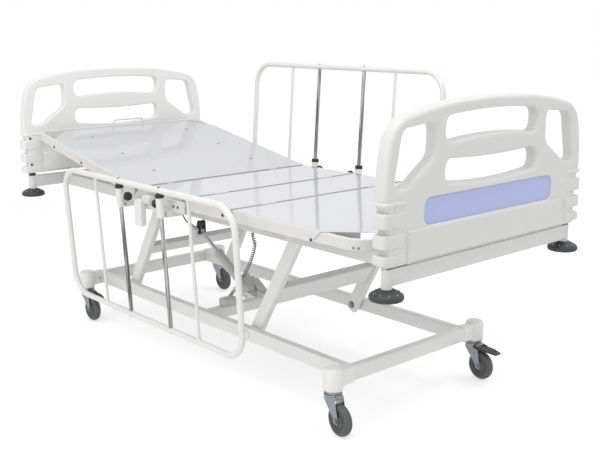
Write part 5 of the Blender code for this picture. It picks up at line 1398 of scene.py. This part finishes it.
hand_low, hand_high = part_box("handset")
pad_low, pad_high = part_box("handset_buttons")
hand_x = (hand_low.x + hand_high.x) / 2
face = eased(rectangle(hand_x - HAND_HALF, hand_x + HAND_HALF, HAND_FOOT, HAND_TOP), 0.006, 5)
shell = [standing(face, HAND_FRONT, HAND_REAR, 0.0035, 4)]
for y0, z0 in ((-0.4585, 0.6188), (-0.4454, 0.6048)):
    shell.append(block(hand_x - HOOK_HALF, hand_x + HOOK_HALF, y0, -0.4424, z0, 0.6218, 0.0008, 2))
put("handset_shell", shell, "pale_plastic", "upper", ["handset"])
pad_y0, pad_y1 = pad_low.y - MID_Y, pad_high.y - MID_Y
pad_face = eased(rectangle(pad_low.x, pad_high.x, pad_low.z, pad_high.z), 0.002, 4)
pad = standing(pad_face, pad_y0, pad_y1, 0.0005, 2)
keys = grown(key_tree(), "pale_plastic", {"Columns": 2, "Rows": 4, "Width": 0.0125, "Height": 0.045,
                                          "Key": 0.0042})
keys = moved(keys, shift(hand_x, pad_y0, (pad_low.z + pad_high.z) / 2) @ turn(90, "X"))
put("handset_keys", [pad, keys], "pale_plastic", "keypad", ["handset_buttons"])
print("handset", round(HAND_TOP - HAND_FOOT, 3), "m")

# %% [markdown]
# ## Studio
# The bed stands in an even white room, so its own colours show nearly as written. Camera and
# glossy rays see plain white. The floor glows a little, more for the camera than for the bed,
# which leaves only faint shadows. Three soft lamps add form; the one behind the bed draws bright
# rims.

# %% Studio
FLOOR_HALF, FLOOR_Z, FLOOR_GLOW, GLOW_SHARE = 14, -0.0004, 1.70, 0.30
world = bpy.data.worlds.new("surround")
bpy.context.scene.world = world
world.use_nodes = True
tree = world.node_tree
ground = tree.nodes["Background"]
ground.inputs["Color"].default_value = (1.0, 1.0, 1.0, 1.0)
path = add_node(tree, "ShaderNodeLightPath")
seen = Wire(tree, path.outputs["Is Camera Ray"]) + Wire(tree, path.outputs["Is Glossy Ray"])
seen = seen + Wire(tree, path.outputs["Is Transmission Ray"])
strength = (seen > 0.5) * 0.13 + 0.87
tree.links.new(strength.socket, ground.inputs["Strength"])

floor_mesh = bpy.data.meshes.new("floor")
floor_corners = rectangle(-FLOOR_HALF, FLOOR_HALF, -FLOOR_HALF, FLOOR_HALF)
floor_mesh.from_pydata([(x, y, FLOOR_Z) for x, y in floor_corners], [], [(0, 1, 2, 3)])
floor = bpy.data.objects.new("floor", floor_mesh)
bpy.context.scene.collection.objects.link(floor)
pale = bpy.data.materials.new("pale_floor")
pale.use_nodes = True
tree = pale.node_tree
diffuse = tree.nodes["Principled BSDF"]
diffuse.inputs["Base Color"].default_value = (0.90, 0.90, 0.90, 1.0)
diffuse.inputs["Roughness"].default_value = 0.9
diffuse.inputs["Specular IOR Level"].default_value = 0.1
path = add_node(tree, "ShaderNodeLightPath")
shown = Wire(tree, path.outputs["Is Camera Ray"]) * 0.3 + 0.7
glow = add_node(tree, "ShaderNodeEmission", None, {"Color": shown, "Strength": FLOOR_GLOW})
mix = add_node(tree, "ShaderNodeMixShader", None, {"Fac": GLOW_SHARE})
tree.links.new(diffuse.outputs[0], mix.inputs[1])
tree.links.new(glow.outputs[0], mix.inputs[2])
tree.links.new(mix.outputs[0], tree.nodes["Material Output"].inputs["Surface"])
floor_mesh.materials.append(pale)


def lamp(name, place, aim, size, power):
    light = bpy.data.lights.new(name, "AREA")
    light.shape = "DISK"
    light.size = size
    light.energy = power
    obj = bpy.data.objects.new(name, light)
    obj.location = place
    obj.rotation_mode = "QUATERNION"
    obj.rotation_quaternion = (Vector(aim) - Vector(place)).to_track_quat("-Z", "Y")
    bpy.context.scene.collection.objects.link(obj)


lamp("rims", (1.6, 2.6, 3.6), (0.3, 0.0, 0.7), 1.6, 18.0)
lamp("overhead", (1.2, -0.9, 3.4), (0.0, 0.0, 0.6), 1.2, 30.0)
lamp("near", (0.4, -4.2, 2.5), (0.0, 0.0, 0.3), 3.0, 36.0)
print("lamps", len(bpy.data.lights))
